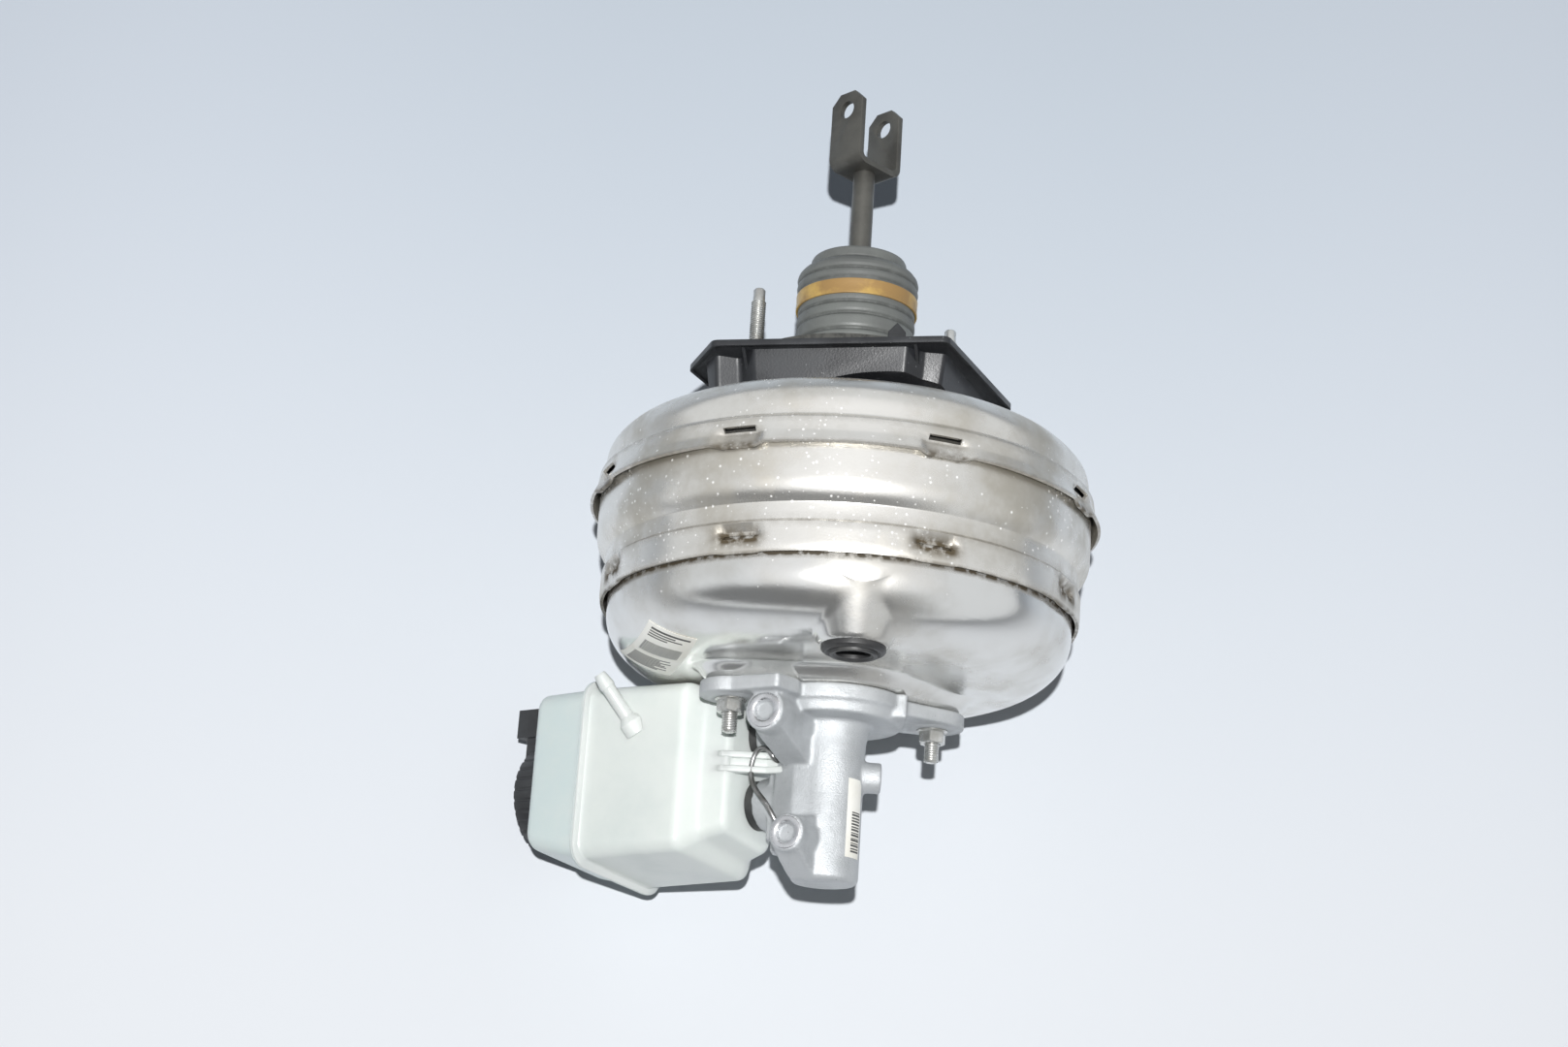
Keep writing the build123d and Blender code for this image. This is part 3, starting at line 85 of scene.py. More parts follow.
def mapRange(tree, value, low, high, newLow=0.0, newHigh=1.0):
    given = {"Value": value, "From Min": low, "From Max": high, "To Min": newLow, "To Max": newHigh}
    return addNode(tree, "ShaderNodeMapRange", given, interpolation_type="SMOOTHSTEP").outputs["Result"]


def mixColours(tree, share, first, second):
    return addNode(tree, "ShaderNodeMix", {0: share, 6: first, 7: second}, data_type="RGBA").outputs[2]


def calculate(tree, operation, first, second=0.0):
    return addNode(tree, "ShaderNodeMath", {0: first, 1: second}, operation=operation).outputs[0]


def objectPlace(tree):
    return addNode(tree, "ShaderNodeTexCoord").outputs["Object"]


def newMaterial(name):
    material = bpy.data.materials.new(name)
    material.use_nodes = True
    return material, material.node_tree, material.node_tree.nodes["Principled BSDF"]


def newGroup(name, inputs, label, kind):
    group = bpy.data.node_groups.new(name, "ShaderNodeTree")
    for title, value in inputs.items():
        group.interface.new_socket(title, in_out="INPUT", socket_type="NodeSocketFloat").default_value = value
    group.interface.new_socket(label, in_out="OUTPUT", socket_type="NodeSocket" + kind)
    given, result = group.nodes.new("NodeGroupInput"), group.nodes.new("NodeGroupOutput")
    return group, given.outputs, result.inputs


def makeCloudGroup():
    group, given, result = newGroup("clouding", {"Scale": 20.0, "Low": 0.4, "High": 0.65}, "Mask", "Float")
    cloud = addNode(group, "ShaderNodeTexNoise", {
        "Vector": objectPlace(group), "Scale": given["Scale"], "Detail": 5.0, "Roughness": 0.6})
    group.links.new(mapRange(group, cloud.outputs["Fac"], given["Low"], given["High"]), result["Mask"])
    return group


def makeFleckGroup():
    group, given, result = newGroup("flecks", {"Scale": 300.0, "Size": 0.2, "Cover": 0.5}, "Mask", "Float")
    place = objectPlace(group)
    cells = addNode(group, "ShaderNodeTexVoronoi", {"Vector": place, "Scale": given["Scale"]}).outputs
    patches = addNode(group, "ShaderNodeTexNoise", {"Vector": place, "Scale": 14.0, "Detail": 3.0})
    chosen = addNode(group, "ShaderNodeSeparateColor", {"Color": cells["Color"]}).outputs
    likely = calculate(group, "MULTIPLY", mapRange(group, patches.outputs["Fac"], 0.35, 0.7), given["Cover"])
    here = calculate(group, "LESS_THAN", chosen["Red"], likely)
    size = calculate(group, "MULTIPLY", given["Size"], chosen["Green"])
    dot = mapRange(group, cells["Distance"], size, 0.0)
    group.links.new(calculate(group, "MULTIPLY", here, dot), result["Mask"])
    return group


def makeGrainGroup():
    group, given, result = newGroup("grain", {"Scale": 400.0, "Depth": 0.1}, "Normal", "Vector")
    cloud = addNode(group, "ShaderNodeTexNoise", {
        "Vector": objectPlace(group), "Scale": given["Scale"], "Detail": 6.0, "Roughness": 0.6})
    bump = addNode(group, "ShaderNodeBump", {
        "Distance": 0.001, "Strength": given["Depth"], "Height": cloud.outputs["Fac"]})
    group.links.new(bump.outputs["Normal"], result["Normal"])
    return group


sharedEffects = {"clouding": makeCloudGroup(), "flecks": makeFleckGroup(), "grain": makeGrainGroup()}


def effect(tree, name, **values):
    made = addNode(tree, "ShaderNodeGroup", node_tree=sharedEffects[name])
    for label, value in values.items():
        made.inputs[label].default_value = value
    return made.outputs[0]


fleckMetallic = 0.15
stainAndShadeRough = 0.75
stainAndShadeClouding = {"Scale": 150.0, "Low": 0.25, "High": 0.6}
finishSettings = {
    "shellTin": {
        "colour": (226, 224, 219), "tint": (188, 183, 172), "tintScale": 20.0, "tintLow": 0.38, "tintHigh": 0.70,
        "metallic": 0.90, "rough": (0.24, 0.42), "grain": (900.0, 0.06),
        "flecks": (380.0, 0.46, 0.95), "fleckColour": (252, 252, 250), "stainAndShade": (70, 60, 42),
    },
    "domeTin": {
        "colour": (226, 226, 224), "tint": (196, 193, 186), "tintScale": 14.0, "tintLow": 0.42, "tintHigh": 0.72,
        "metallic": 0.95, "rough": (0.17, 0.33), "grain": (600.0, 0.035),
        "flecks": (330.0, 0.30, 0.30), "fleckColour": (248, 248, 246), "stainAndShade": (60, 52, 38),
    },
    "castAluminium": {
        "colour": (188, 191, 193), "tint": (168, 171, 173), "tintScale": 45.0, "tintLow": 0.35, "tintHigh": 0.75,
        "metallic": 0.42, "rough": (0.44, 0.60), "grain": (1300.0, 0.45),
        "flecks": (700.0, 0.32, 0.22), "fleckColour": (104, 104, 102),
    },
    "machinedAluminium": {
        "colour": (216, 217, 219), "tint": (190, 190, 192), "tintScale": 90.0, "metallic": 0.95, "rough": (0.2, 0.3),
        "grain": (2500.0, 0.08),
    },
    "zincPlate": {
        "colour": (206, 207, 205), "tint": (168, 167, 162), "tintScale": 120.0, "metallic": 0.85, "rough": (0.24, 0.40),
        "grain": (1800.0, 0.10), "stainAndShade": (88, 80, 66),
    },
    "rodSteel": {
        "colour": (100, 99, 94), "tint": (82, 81, 77), "tintScale": 40.0, "metallic": 0.65, "rough": (0.36, 0.5),
        "grain": (1400.0, 0.14), "flecks": (600.0, 0.25, 0.15), "fleckColour": (140, 140, 136),
    },
    "springSteel": {
        "colour": (150, 150, 150), "tint": (104, 103, 100), "tintScale": 120.0, "metallic": 0.9, "rough": (0.24, 0.36),
        "grain": (1500.0, 0.05),
    },
    "framePlastic": {
        "colour": (27, 28, 31), "tint": (46, 48, 51), "tintScale": 26.0, "metallic": 0.0, "rough": (0.34, 0.52),
        "grain": (900.0, 0.12), "flecks": (420.0, 0.30, 0.34), "fleckColour": (126, 128, 130),
    },
    "blackPlastic": {
        "colour": (34, 35, 37), "tint": (52, 54, 56), "tintScale": 50.0, "metallic": 0.0, "rough": (0.34, 0.5),
        "grain": (1100.0, 0.08), "flecks": (700.0, 0.2, 0.1), "fleckColour": (110, 110, 112),
    },
    "blackRubber": {
        "colour": (38, 38, 39), "tint": (62, 62, 61), "tintScale": 60.0, "metallic": 0.0, "rough": (0.42, 0.62),
        "grain": (1000.0, 0.1),
    },
    "bootRubber": {
        "colour": (113, 116, 113), "tint": (98, 100, 98), "tintScale": 26.0, "metallic": 0.0, "rough": (0.42, 0.6),
        "grain": (800.0, 0.12), "flecks": (300.0, 0.26, 0.16), "fleckColour": (66, 66, 64), "stainAndShade": (70, 72, 70),
    },
    "goldBand": {
        "colour": (202, 168, 94), "tint": (158, 126, 78), "tintScale": 34.0, "tintLow": 0.42, "tintHigh": 0.6,
        "metallic": 0.1, "rough": (0.34, 0.48), "grain": (900.0, 0.08),
    },
    "filterFelt": {
        "colour": (92, 92, 88), "tint": (64, 64, 62), "tintScale": 200.0, "metallic": 0.0, "rough": (0.85, 0.95),
        "grain": (2600.0, 0.9),
    },
    "phenolic": {
        "colour": (46, 40, 34), "tint": (62, 54, 46), "tintScale": 80.0, "metallic": 0.0, "rough": (0.4, 0.55),
        "grain": (1300.0, 0.1),
    },
    "labelFilm": {
        "colour": (242, 241, 234), "tint": (228, 225, 214), "tintScale": 30.0, "metallic": 0.0, "rough": (0.35, 0.5),
        "grain": (700.0, 0.05),
    },
    "labelInk": {
        "colour": (66, 66, 66), "tint": (88, 88, 86), "tintScale": 90.0, "metallic": 0.0, "rough": (0.5, 0.6),
        "grain": (900.0, 0.05),
    },
}


def makeFinish(name, settings):
    material = bpy.data.materials.new(name)
    material.use_nodes = True
    tree = material.node_tree
    tree.nodes.clear()
    cloud = effect(tree, "clouding", Scale=settings["tintScale"], Low=settings.get("tintLow", 0.38),
                   High=settings.get("tintHigh", 0.7))
    colour = mixColours(tree, cloud, linear(*settings["colour"]), linear(*settings["tint"]))
    rough = mapRange(tree, cloud, 0.0, 1.0, *settings["rough"])
    metallic = settings["metallic"]
    if "flecks" in settings:
        scale, size, cover = settings["flecks"]
        fleck = effect(tree, "flecks", Scale=scale, Size=size, Cover=cover)
        colour = mixColours(tree, fleck, colour, linear(*settings["fleckColour"]))
        if settings["metallic"] > 0:
            metallic = mapRange(tree, fleck, 0.0, 1.0, metallic, fleckMetallic)
    # the dirt attribute pulls the colour towards the dirt colour: real grime near the drum's lances, and painted shade
    # in creases, gaps and behind slots
    if "stainAndShade" in settings:
        stainAndShadeAttribute = addNode(tree, "ShaderNodeAttribute", attribute_name="stainAndShade")
        broken = effect(tree, "clouding", **stainAndShadeClouding)
        soilAndShade = calculate(tree, "MINIMUM", calculate(tree, "MULTIPLY", stainAndShadeAttribute.outputs["Fac"], broken), 1.0)
        colour = mixColours(tree, soilAndShade, colour, linear(*settings["stainAndShade"]))
        rough = calculate(tree, "MAXIMUM", rough, calculate(tree, "MULTIPLY", soilAndShade, stainAndShadeRough))
        if settings["metallic"] > 0:
            metallic = calculate(tree, "MULTIPLY", metallic, calculate(tree, "SUBTRACT", 1.0, soilAndShade))
    scale, depth = settings["grain"]
    shader = addNode(tree, "ShaderNodeBsdfPrincipled", {
        "Base Color": colour, "Roughness": rough, "Metallic": metallic,
        "Normal": effect(tree, "grain", Scale=scale, Depth=depth)})
    addNode(tree, "ShaderNodeOutputMaterial", {0: shader.outputs[0]})
    return material


finishes = {name: makeFinish(name, settings) for name, settings in finishSettings.items()}

tankSettings = {
    "lower": (217, 222, 218), "upper": (204, 217, 216), "cream": (222, 212, 184), "lowerCloud": (205, 212, 209),
    "upperCloud": (215, 222, 218), "through": 0.30, "depth": (0.010, 0.011, 0.010), "rough": (0.28, 0.42),
}


def makeTankPlastic(name, main, second):
    material, tree, shader = newMaterial(name)
    cloud = effect(tree, "clouding", Scale=18.0, Low=0.35, High=0.75)
    stainAndShadeAttribute = addNode(tree, "ShaderNodeAttribute", attribute_name="stainAndShade")
    colour = mixColours(tree, cloud, linear(*main), linear(*second))
    fill(tree, shader, {
        "Base Color": mixColours(tree, stainAndShadeAttribute.outputs["Fac"], colour, linear(*tankSettings["cream"])),
        "Roughness": mapRange(tree, cloud, 0.0, 1.0, *tankSettings["rough"]),
        "Subsurface Weight": tankSettings["through"], "Subsurface Radius": tankSettings["depth"],
        "Subsurface Scale": 1.0, "Normal": effect(tree, "grain", Scale=260.0, Depth=0.06)})
    return material


for half in ("lower", "upper"):
    name = "tank" + half.capitalize()
    finishes[name] = makeTankPlastic(name, tankSettings[half], tankSettings[half + "Cloud"])
print("finishes", len(finishes))


# lengths are millimetres, and a turn round the drum goes from +Z towards +X
def roundedLine(points, bends, step=2.0):
    line = [np.array(point, float) for point in points]
    made = [line[0]]
    for before, corner, after, bend in zip(line, line[1:], line[2:], bends):
        into = (corner - before) / np.linalg.norm(corner - before)
        out = (after - corner) / np.linalg.norm(after - corner)
        turn = math.acos(max(-1.0, min(1.0, float(into @ out))))
        if turn < 0.01:
            made.append(corner)
            continue
        reach = bend * math.tan(turn / 2)
        start, end = corner - into * reach, corner + out * reach
        steps = max(2, int(math.ceil(turn * bend / step)), int(math.ceil(math.degrees(turn) / 14)))
        for index in range(steps + 1):
            share = index / steps
            made.append((1 - share) ** 2 * start + 2 * share * (1 - share) * corner + share ** 2 * end)
    made.append(line[-1])
    return [tuple(point) for point in made]


def spread(points, gap):
    made = [points[0]]
    for first, second in zip(points, points[1:]):
        length = math.dist(first, second)
        pieces = max(1, int(math.ceil(length / gap)))
        for index in range(1, pieces + 1):
            share = index / pieces
            made.append(tuple(a + (b - a) * share for a, b in zip(first, second)))
    return made


def stations(points, marks):
    made = []
    for first, second in zip(points, points[1:]):
        made.append(first)
        inside = [mark for mark in marks if min(first[1], second[1]) + 0.2 < mark < max(first[1], second[1]) - 0.2]
        inside.sort(reverse=second[1] < first[1])
        for mark in inside:
            share = (mark - first[1]) / (second[1] - first[1])
            made.append((first[0] + (second[0] - first[0]) * share, mark))
    made.append(points[-1])
    return made


@contextmanager
def edited(mesh):
    body = bmesh.new()
    body.from_mesh(mesh)
    yield body
    body.to_mesh(mesh)
    body.free()


def linked(name, data):
    made = bpy.data.objects.new(name, data)
    bpy.context.scene.collection.objects.link(made)
    return made


def evaluated(maker):
    made = bpy.data.meshes.new_from_object(maker.evaluated_get(bpy.context.evaluated_depsgraph_get()))
    bpy.data.objects.remove(maker)
    return made


def newMesh(name, vertices, faces, merge=1e-7):
    mesh = bpy.data.meshes.new(name)
    mesh.from_pydata([tuple(float(c) * mm for c in vertex) for vertex in vertices], [], faces)
    with edited(mesh) as body:
        bmesh.ops.remove_doubles(body, verts=body.verts, dist=merge)
    return mesh


def closeUp(mesh):
    with edited(mesh) as body:
        bmesh.ops.recalc_face_normals(body, faces=body.faces)
        if body.calc_volume(signed=True) < 0:
            bmesh.ops.reverse_faces(body, faces=body.faces)
    return mesh


def facedOut(mesh):
    far = max(mesh.polygons, key=lambda face: math.hypot(face.center.x, face.center.z))
    if far.normal.x * far.center.x + far.normal.z * far.center.z < 0:
        mesh.flip_normals()
    return mesh


def ringFaces(rows, count, closed=False):
    faces = []
    for row in range(rows if closed else rows - 1):
        low, high = row * count, (row + 1) % rows * count
        for index in range(count):
            after = (index + 1) % count
            faces.append((low + index, low + after, high + after, high + index))
    return faces


def prism(name, near, far):
    count = len(near)
    faces = [tuple(range(count)), tuple(range(count, 2 * count))]
    faces += [(index, (index + 1) % count, count + (index + 1) % count, count + index) for index in range(count)]
    return closeUp(newMesh(name, [*near, *far], faces))


def place(name, mesh, finish, body="root", slot=None, replaces=(), sharp=38.0):
    piece = linked(name, mesh)
    if not mesh.materials:
        mesh.materials.append(finishes[finish])
    mesh.shade_smooth()
    mesh.set_sharp_from_angle(angle=math.radians(sharp))
    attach(piece, body)
    if replaces:
        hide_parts(*replaces)


def applied(name, mesh, kind, **values):
    maker = linked(name + "Maker", mesh)
    modifier = maker.modifiers.new(kind, kind)
    for key, value in values.items():
        setattr(modifier, key, value)
    made = evaluated(maker)
    made.name = name
    return made


# stores a per-point mask that mixes real grime with painted shade
def setStainAndShade(mesh, measure):
    places = np.empty(len(mesh.vertices) * 3, dtype=np.float32)
    mesh.vertices.foreach_get("co", places)
    places = places.reshape(-1, 3) / mm
    values = np.clip(measure(places), 0, 3).astype(np.float32)
    layer = mesh.attributes.new("stainAndShade", "FLOAT", "POINT")
    layer.data.foreach_set("value", values)


def smoothStep(value, low, high):
    share = np.clip((value - low) / (high - low), 0, 1)
    return share * share * (3 - 2 * share)


def ripple(turns, ys, scale, seed):
    # slow waves round the drum
    phase = seed * 1.7
    return (np.sin(turns * 3 + phase) + 0.6 * np.sin(turns * 7 + ys * 0.05 + phase * 2)
            + 0.4 * np.sin(turns * 13 - ys * 0.11 + phase * 3)) * scale


def spinSheet(name, profile, shape, openCell):
    segments, count = drumSettings["segments"], len(profile)
    turns = np.arange(segments) * 2 * math.pi / segments
    radii, ys = np.array(profile).T
    allTurns, allRadii = np.meshgrid(turns, radii, indexing="ij")
    allYs = np.broadcast_to(ys, allRadii.shape)
    allRadii, allYs = shape(allTurns, allRadii.copy(), allYs.copy())
    vertices = np.stack([allRadii * np.sin(allTurns), allYs, allRadii * np.cos(allTurns)], -1).reshape(-1, 3)
    faces = []
    for index in range(segments):
        here, after = index * count, (index + 1) % segments * count
        middle = (index + 0.5) * 360.0 / segments
        for row in range(count - 1):
            if not openCell(middle, (ys[row] + ys[row + 1]) / 2):
                faces.append((here + row, after + row, after + row + 1, here + row + 1))
    return applied(name, facedOut(newMesh(name, vertices, faces)), "SOLIDIFY",
                   thickness=drumSettings["sheet"] * mm, offset=-1.0, use_even_offset=True)


def lathe(profile, segments, centre=(0, 0, 0), axis=(0, 1, 0), start=None, closed=True):
    # profile of (radius, height along the axis), turned into a closed skin
    way = Vector(axis).normalized()
    side = Vector(start).normalized() if start else way.orthogonal().normalized()
    other = way.cross(side)
    vertices = []
    for radius, height in profile:
        for index in range(segments):
            angle = 2 * math.pi * index / segments
            vertices.append(Vector(centre) + way * height + (side * math.cos(angle) + other * math.sin(angle)) * radius)
    return vertices, ringFaces(len(profile), segments, closed)


def latheMesh(name, profile, segments, **where):
    mesh = newMesh(name, *lathe(profile, segments, **where), merge=2e-6)
    with edited(mesh) as body:
        bmesh.ops.dissolve_degenerate(body, dist=1e-7, edges=body.edges)
    return closeUp(mesh)


def joined(name, *meshes):
    body = bmesh.new()
    for mesh in meshes:
        body.from_mesh(mesh)
    made = bpy.data.meshes.new(name)
    body.to_mesh(made)
    body.free()
    return made


drumSettings = {
    "segments": 480, "sheet": 1.6, "lanceClock": 19.5, "lanceCount": 8, "slotHalf": 4.9, "slotHigh": 2.5,
    "rearLance": -72.0, "midLance": -125.0, "rearDent": 2.6, "midDent": 3.2,
    "bendStep": 1.6, "lineGap": 4.0, "slotEdge": 1.2,
}
rearProfile = [
    (26.0, -22.0), (60.0, -21.0), (73.0, -37.0), (115.5, -37.0), (128.4, -52.4), (128.6, -63.8), (131.5, -66.2),
    (132.6, -74.0), (135.3, -80.0),
]
midProfile = [
    (119.6, -69.8), (126.2, -69.8), (130.2, -76.0), (130.2, -102.4), (124.8, -107.8), (124.8, -116.5),
    (126.0, -118.0), (126.0, -133.0),
]


def fromLance(turns):
    pitch = 360.0 / drumSettings["lanceCount"]
    off = np.degrees(turns) - drumSettings["lanceClock"]
    return off - np.round(off / pitch) * pitch


def lanceCells(lanceY):
    def hole(middle, y):
        off = float(fromLance(np.array(math.radians(middle))))
        return abs(off) < drumSettings["slotHalf"] * 0.75 and abs(y - lanceY) < drumSettings["slotHigh"] / 2
    return hole


def makeShell(name, node, profile, bends, lance, marks, shape, stainAndShade):
    s = drumSettings
    half, beyond = s["slotHigh"] / 2, s["slotHigh"] / 2 + s["slotEdge"]
    line = spread(roundedLine(profile, bends, s["bendStep"]), s["lineGap"])
    line = stations(line, [lance - half, lance + half, lance - beyond, lance + beyond, *marks])
    mesh = spinSheet(name, line, shape, lanceCells(lance))

    def measure(spots):
        turns = np.arctan2(spots[:, 0], spots[:, 2])
        return stainAndShade(np.abs(fromLance(turns)), spots[:, 1])

    setStainAndShade(mesh, measure)
    place(name, mesh, "shellTin", slot="pressed_steel", replaces=(node,))


def makeRearShell():
    lance = drumSettings["rearLance"]
    half = drumSettings["slotHigh"] / 2

    def shape(turns, radii, ys):
        beside = 1 - smoothStep(np.abs(fromLance(turns)), 3.4, 6.4)
        below = smoothStep(ys, lance + 0.4, lance - half - 0.4)
        above = smoothStep(ys, lance + 9.0, lance + half + 0.3) * smoothStep(ys, lance - 0.2, lance + half)
        fade = 1 - 0.35 * smoothStep(ys, -76.0, -80.0)
        radii = radii - drumSettings["rearDent"] * beside * below * fade + 0.25 * beside * above
        lip = smoothStep(ys, -76.5, -80.0)
        ys = ys - 1.6 * beside * lip + ripple(turns, ys, 0.16, 1) * lip
        wave = smoothStep(radii, 60, 100)
        return radii + ripple(turns, ys, 0.10, 2) * wave, ys + ripple(turns, radii, 0.08, 3) * wave * (1 - lip)

    # grime near the lances; painted shade along the crease at y -66.5 and on the skirt's lip, where the gap to the mid
    # shell lies in shade
    def stainAndShade(off, ys):
        near = (1 - smoothStep(off, 3.5, 7.5)) * smoothStep(ys, lance + 2.5, lance - 2.0)
        creaseShade = np.exp(-((ys + 66.5) / 1.6) ** 2)
        return near * 0.45 + creaseShade * 0.30 + smoothStep(ys, -78.2, -80.2) * 0.45

    makeShell("rearShell", "rear_shell", rearProfile, [8, 8, 31, 15.5, 1.4, 1.4, 6], lance, [-78.4, -79.4], shape, stainAndShade)


def makeMidShell():
    lance = drumSettings["midLance"]
    half = drumSettings["slotHigh"] / 2

    def shape(turns, radii, ys):
        beside = 1 - smoothStep(np.abs(fromLance(turns)), 3.4, 6.2)
        above = smoothStep(ys, -118.2, -120.5) * smoothStep(ys, lance - 0.3, lance + half)
        below = smoothStep(ys, lance, lance - half) * smoothStep(ys, -133.0, -129.0)
        radii = radii - drumSettings["midDent"] * beside * above - 0.5 * beside * below
        rim = smoothStep(ys, -130.5, -133.0)
        ring = smoothStep(ys, -117.0, -119.0)
        radii = radii + ripple(turns, ys, 0.14, 4) * ring - 0.7 * rim
        ys = ys + ripple(turns, ys, 0.12, 5) * rim - 0.7 * beside * rim
        return radii + ripple(turns, ys, 0.07, 6), ys

    # grime near the lances; painted shade in the step at y -117.3 and on the curled rim over the front shell
    def stainAndShade(off, ys):
        near = (1 - smoothStep(off, 3.5, 8.5)) * smoothStep(np.abs(ys - lance), 7.0, 2.0)
        creaseShade = np.exp(-((ys + 117.3) / 0.9) ** 2)
        return near * 1.1 + creaseShade * 0.8 + smoothStep(ys, -131.5, -133.2) * 0.7

    makeShell("midShell", "mid_shell", midProfile, [2, 6, 15.5, 1.4, 0.6, 0.6], lance, [-131.6, -132.6], shape, stainAndShade)


domeSettings = {
    "segments": 480, "face": -167.5, "flat": 81.9, "shoulder": 39.9, "shoulderDeep": 28.8,
    "outer": 121.8, "hubRadius": 46.0, "lobeRadius": 19.0, "rodPitch": 114.2, "rodClock": 21.3,
    "hubRise": 7.5, "portPlace": (5.7, 92.0), "portRadius": 17.0, "portRise": 3.0, "portHole": 11.5, "portDraft": 2.0,
    "portSoft": 2.2, "rings": ((19.4, 84.0, 1.6), (84.0, 116.0, 1.1)),   # from, to and step of the radius
    "edge": (116.0, 117.2, 118.3, 119.3, 120.1, 120.8, 121.3, 121.65, 121.8),
    "skirt": (-136.0, -133.0, -128.0, -123.0, -118.4),
}


def rodPlace(way):
    half, clock = domeSettings["rodPitch"] / 2, math.radians(domeSettings["rodClock"])
    return (-way * half * math.cos(clock), way * half * math.sin(clock))


def hullDistance(xs, zs):
    best = None
    for way in (1, -1):
        lobeX, lobeZ = rodPlace(way)
        length = math.hypot(lobeX, lobeZ)
        along = (xs * lobeX + zs * lobeZ) / length
        aside = np.abs(-xs * lobeZ + zs * lobeX) / length
        lean = (domeSettings["hubRadius"] - domeSettings["lobeRadius"]) / length
        rest = math.sqrt(1 - lean * lean)
        key = -lean * aside + rest * along
        big = np.hypot(aside, along) - domeSettings["hubRadius"]
        small = np.hypot(aside, along - length) - domeSettings["lobeRadius"]
        side = aside * rest + along * lean - domeSettings["hubRadius"]
        distance = np.where(key < 0, big, np.where(key > rest * length, small, side))
        best = distance if best is None else np.minimum(best, distance)
    return best


def domeHeight(xs, zs):
    s = domeSettings
    share = np.clip((np.hypot(xs, zs) - s["flat"]) / s["shoulder"], 0, 1)
    ys = s["face"] + s["shoulderDeep"] * (1 - np.sqrt(np.maximum(1 - share ** 2, 0)))
    ys = ys - s["hubRise"] * smoothStep(hullDistance(xs, zs), 3.0, -8.0)
    away = np.hypot(xs - s["portPlace"][0], zs - s["portPlace"][1])
    boss = s["face"] - s["portRise"] + np.maximum(away - s["portRadius"], 0) * s["portDraft"]
    blend = np.clip(0.5 + 0.5 * (ys - boss) / s["portSoft"], 0, 1)
    return ys * (1 - blend) + boss * blend - s["portSoft"] * blend * (1 - blend) * 0.5


def makeFrontShell():
    s = domeSettings
    count, (portX, portZ) = s["segments"], s["portPlace"]
    radii = [radius for ring in s["rings"] for radius in np.arange(*ring)] + list(s["edge"])
    turns = np.arange(count) * 2 * math.pi / count
    vertices = []
    for radius in radii:
        xs, zs = radius * np.sin(turns), radius * np.cos(turns)
        ys = domeHeight(xs, zs) + ripple(turns, np.full_like(turns, radius), 0.07, 7)
        vertices += list(zip(xs, ys, zs))
    for y in s["skirt"]:
        vertices += [(s["outer"] * math.sin(turn), y, s["outer"] * math.cos(turn)) for turn in turns]
    faces = []
    for face in ringFaces(len(radii) + len(s["skirt"]), count):
        middle = [sum(vertices[corner][axis] for corner in face) / 4 for axis in (0, 2)]
        if math.hypot(middle[0] - portX, middle[1] - portZ) >= s["portHole"]:
            faces.append(face)
    mesh = applied("frontShell", facedOut(newMesh("frontShell", vertices, faces)), "SOLIDIFY",
                   thickness=drumSettings["sheet"] * mm, offset=-1.0)

    # a faint tan tint on the hub's wall, and painted shade over the whole skirt under the mid shell, so its slots and
    # the gap read dark
    def stainAndShade(spots):
        distance = hullDistance(spots[:, 0].astype(float), spots[:, 2].astype(float))
        seam = np.exp(-((distance + 4.0) / 1.6) ** 2) * 0.12
        return seam + smoothStep(spots[:, 1], -135.6, -133.6) * 1.3

    setStainAndShade(mesh, stainAndShade)
    place("frontShell", mesh, "domeTin", slot="pressed_steel", replaces=("front_shell",), sharp=50)


makeRearShell()
makeMidShell()
makeFrontShell()
print("drum shells made")


bootSettings = {
    "segments": 180, "radius": 32.2, "foot": 0.2, "grooves": (20.9, 29.8, 36.6), "grooveDeep": 1.2,
    "bandLow": 40.0, "bandHigh": 49.3, "bandThick": 1.0, "topRadius": 26.0, "top": 71.4, "rodHole": 6.3,
    "upper": (
        (32.0, 50.4), (32.9, 51.6), (33.2, 53.3), (32.9, 54.9), (31.7, 55.8), (32.9, 56.8), (33.2, 58.3), (32.7, 60.2),
        (31.2, 62.2), (29.2, 63.7), (27.2, 64.7), (26.0, 65.0), (26.3, 66.0), (26.1, 69.6), (25.5, 70.8), (24.2, 71.4),
    ),
}


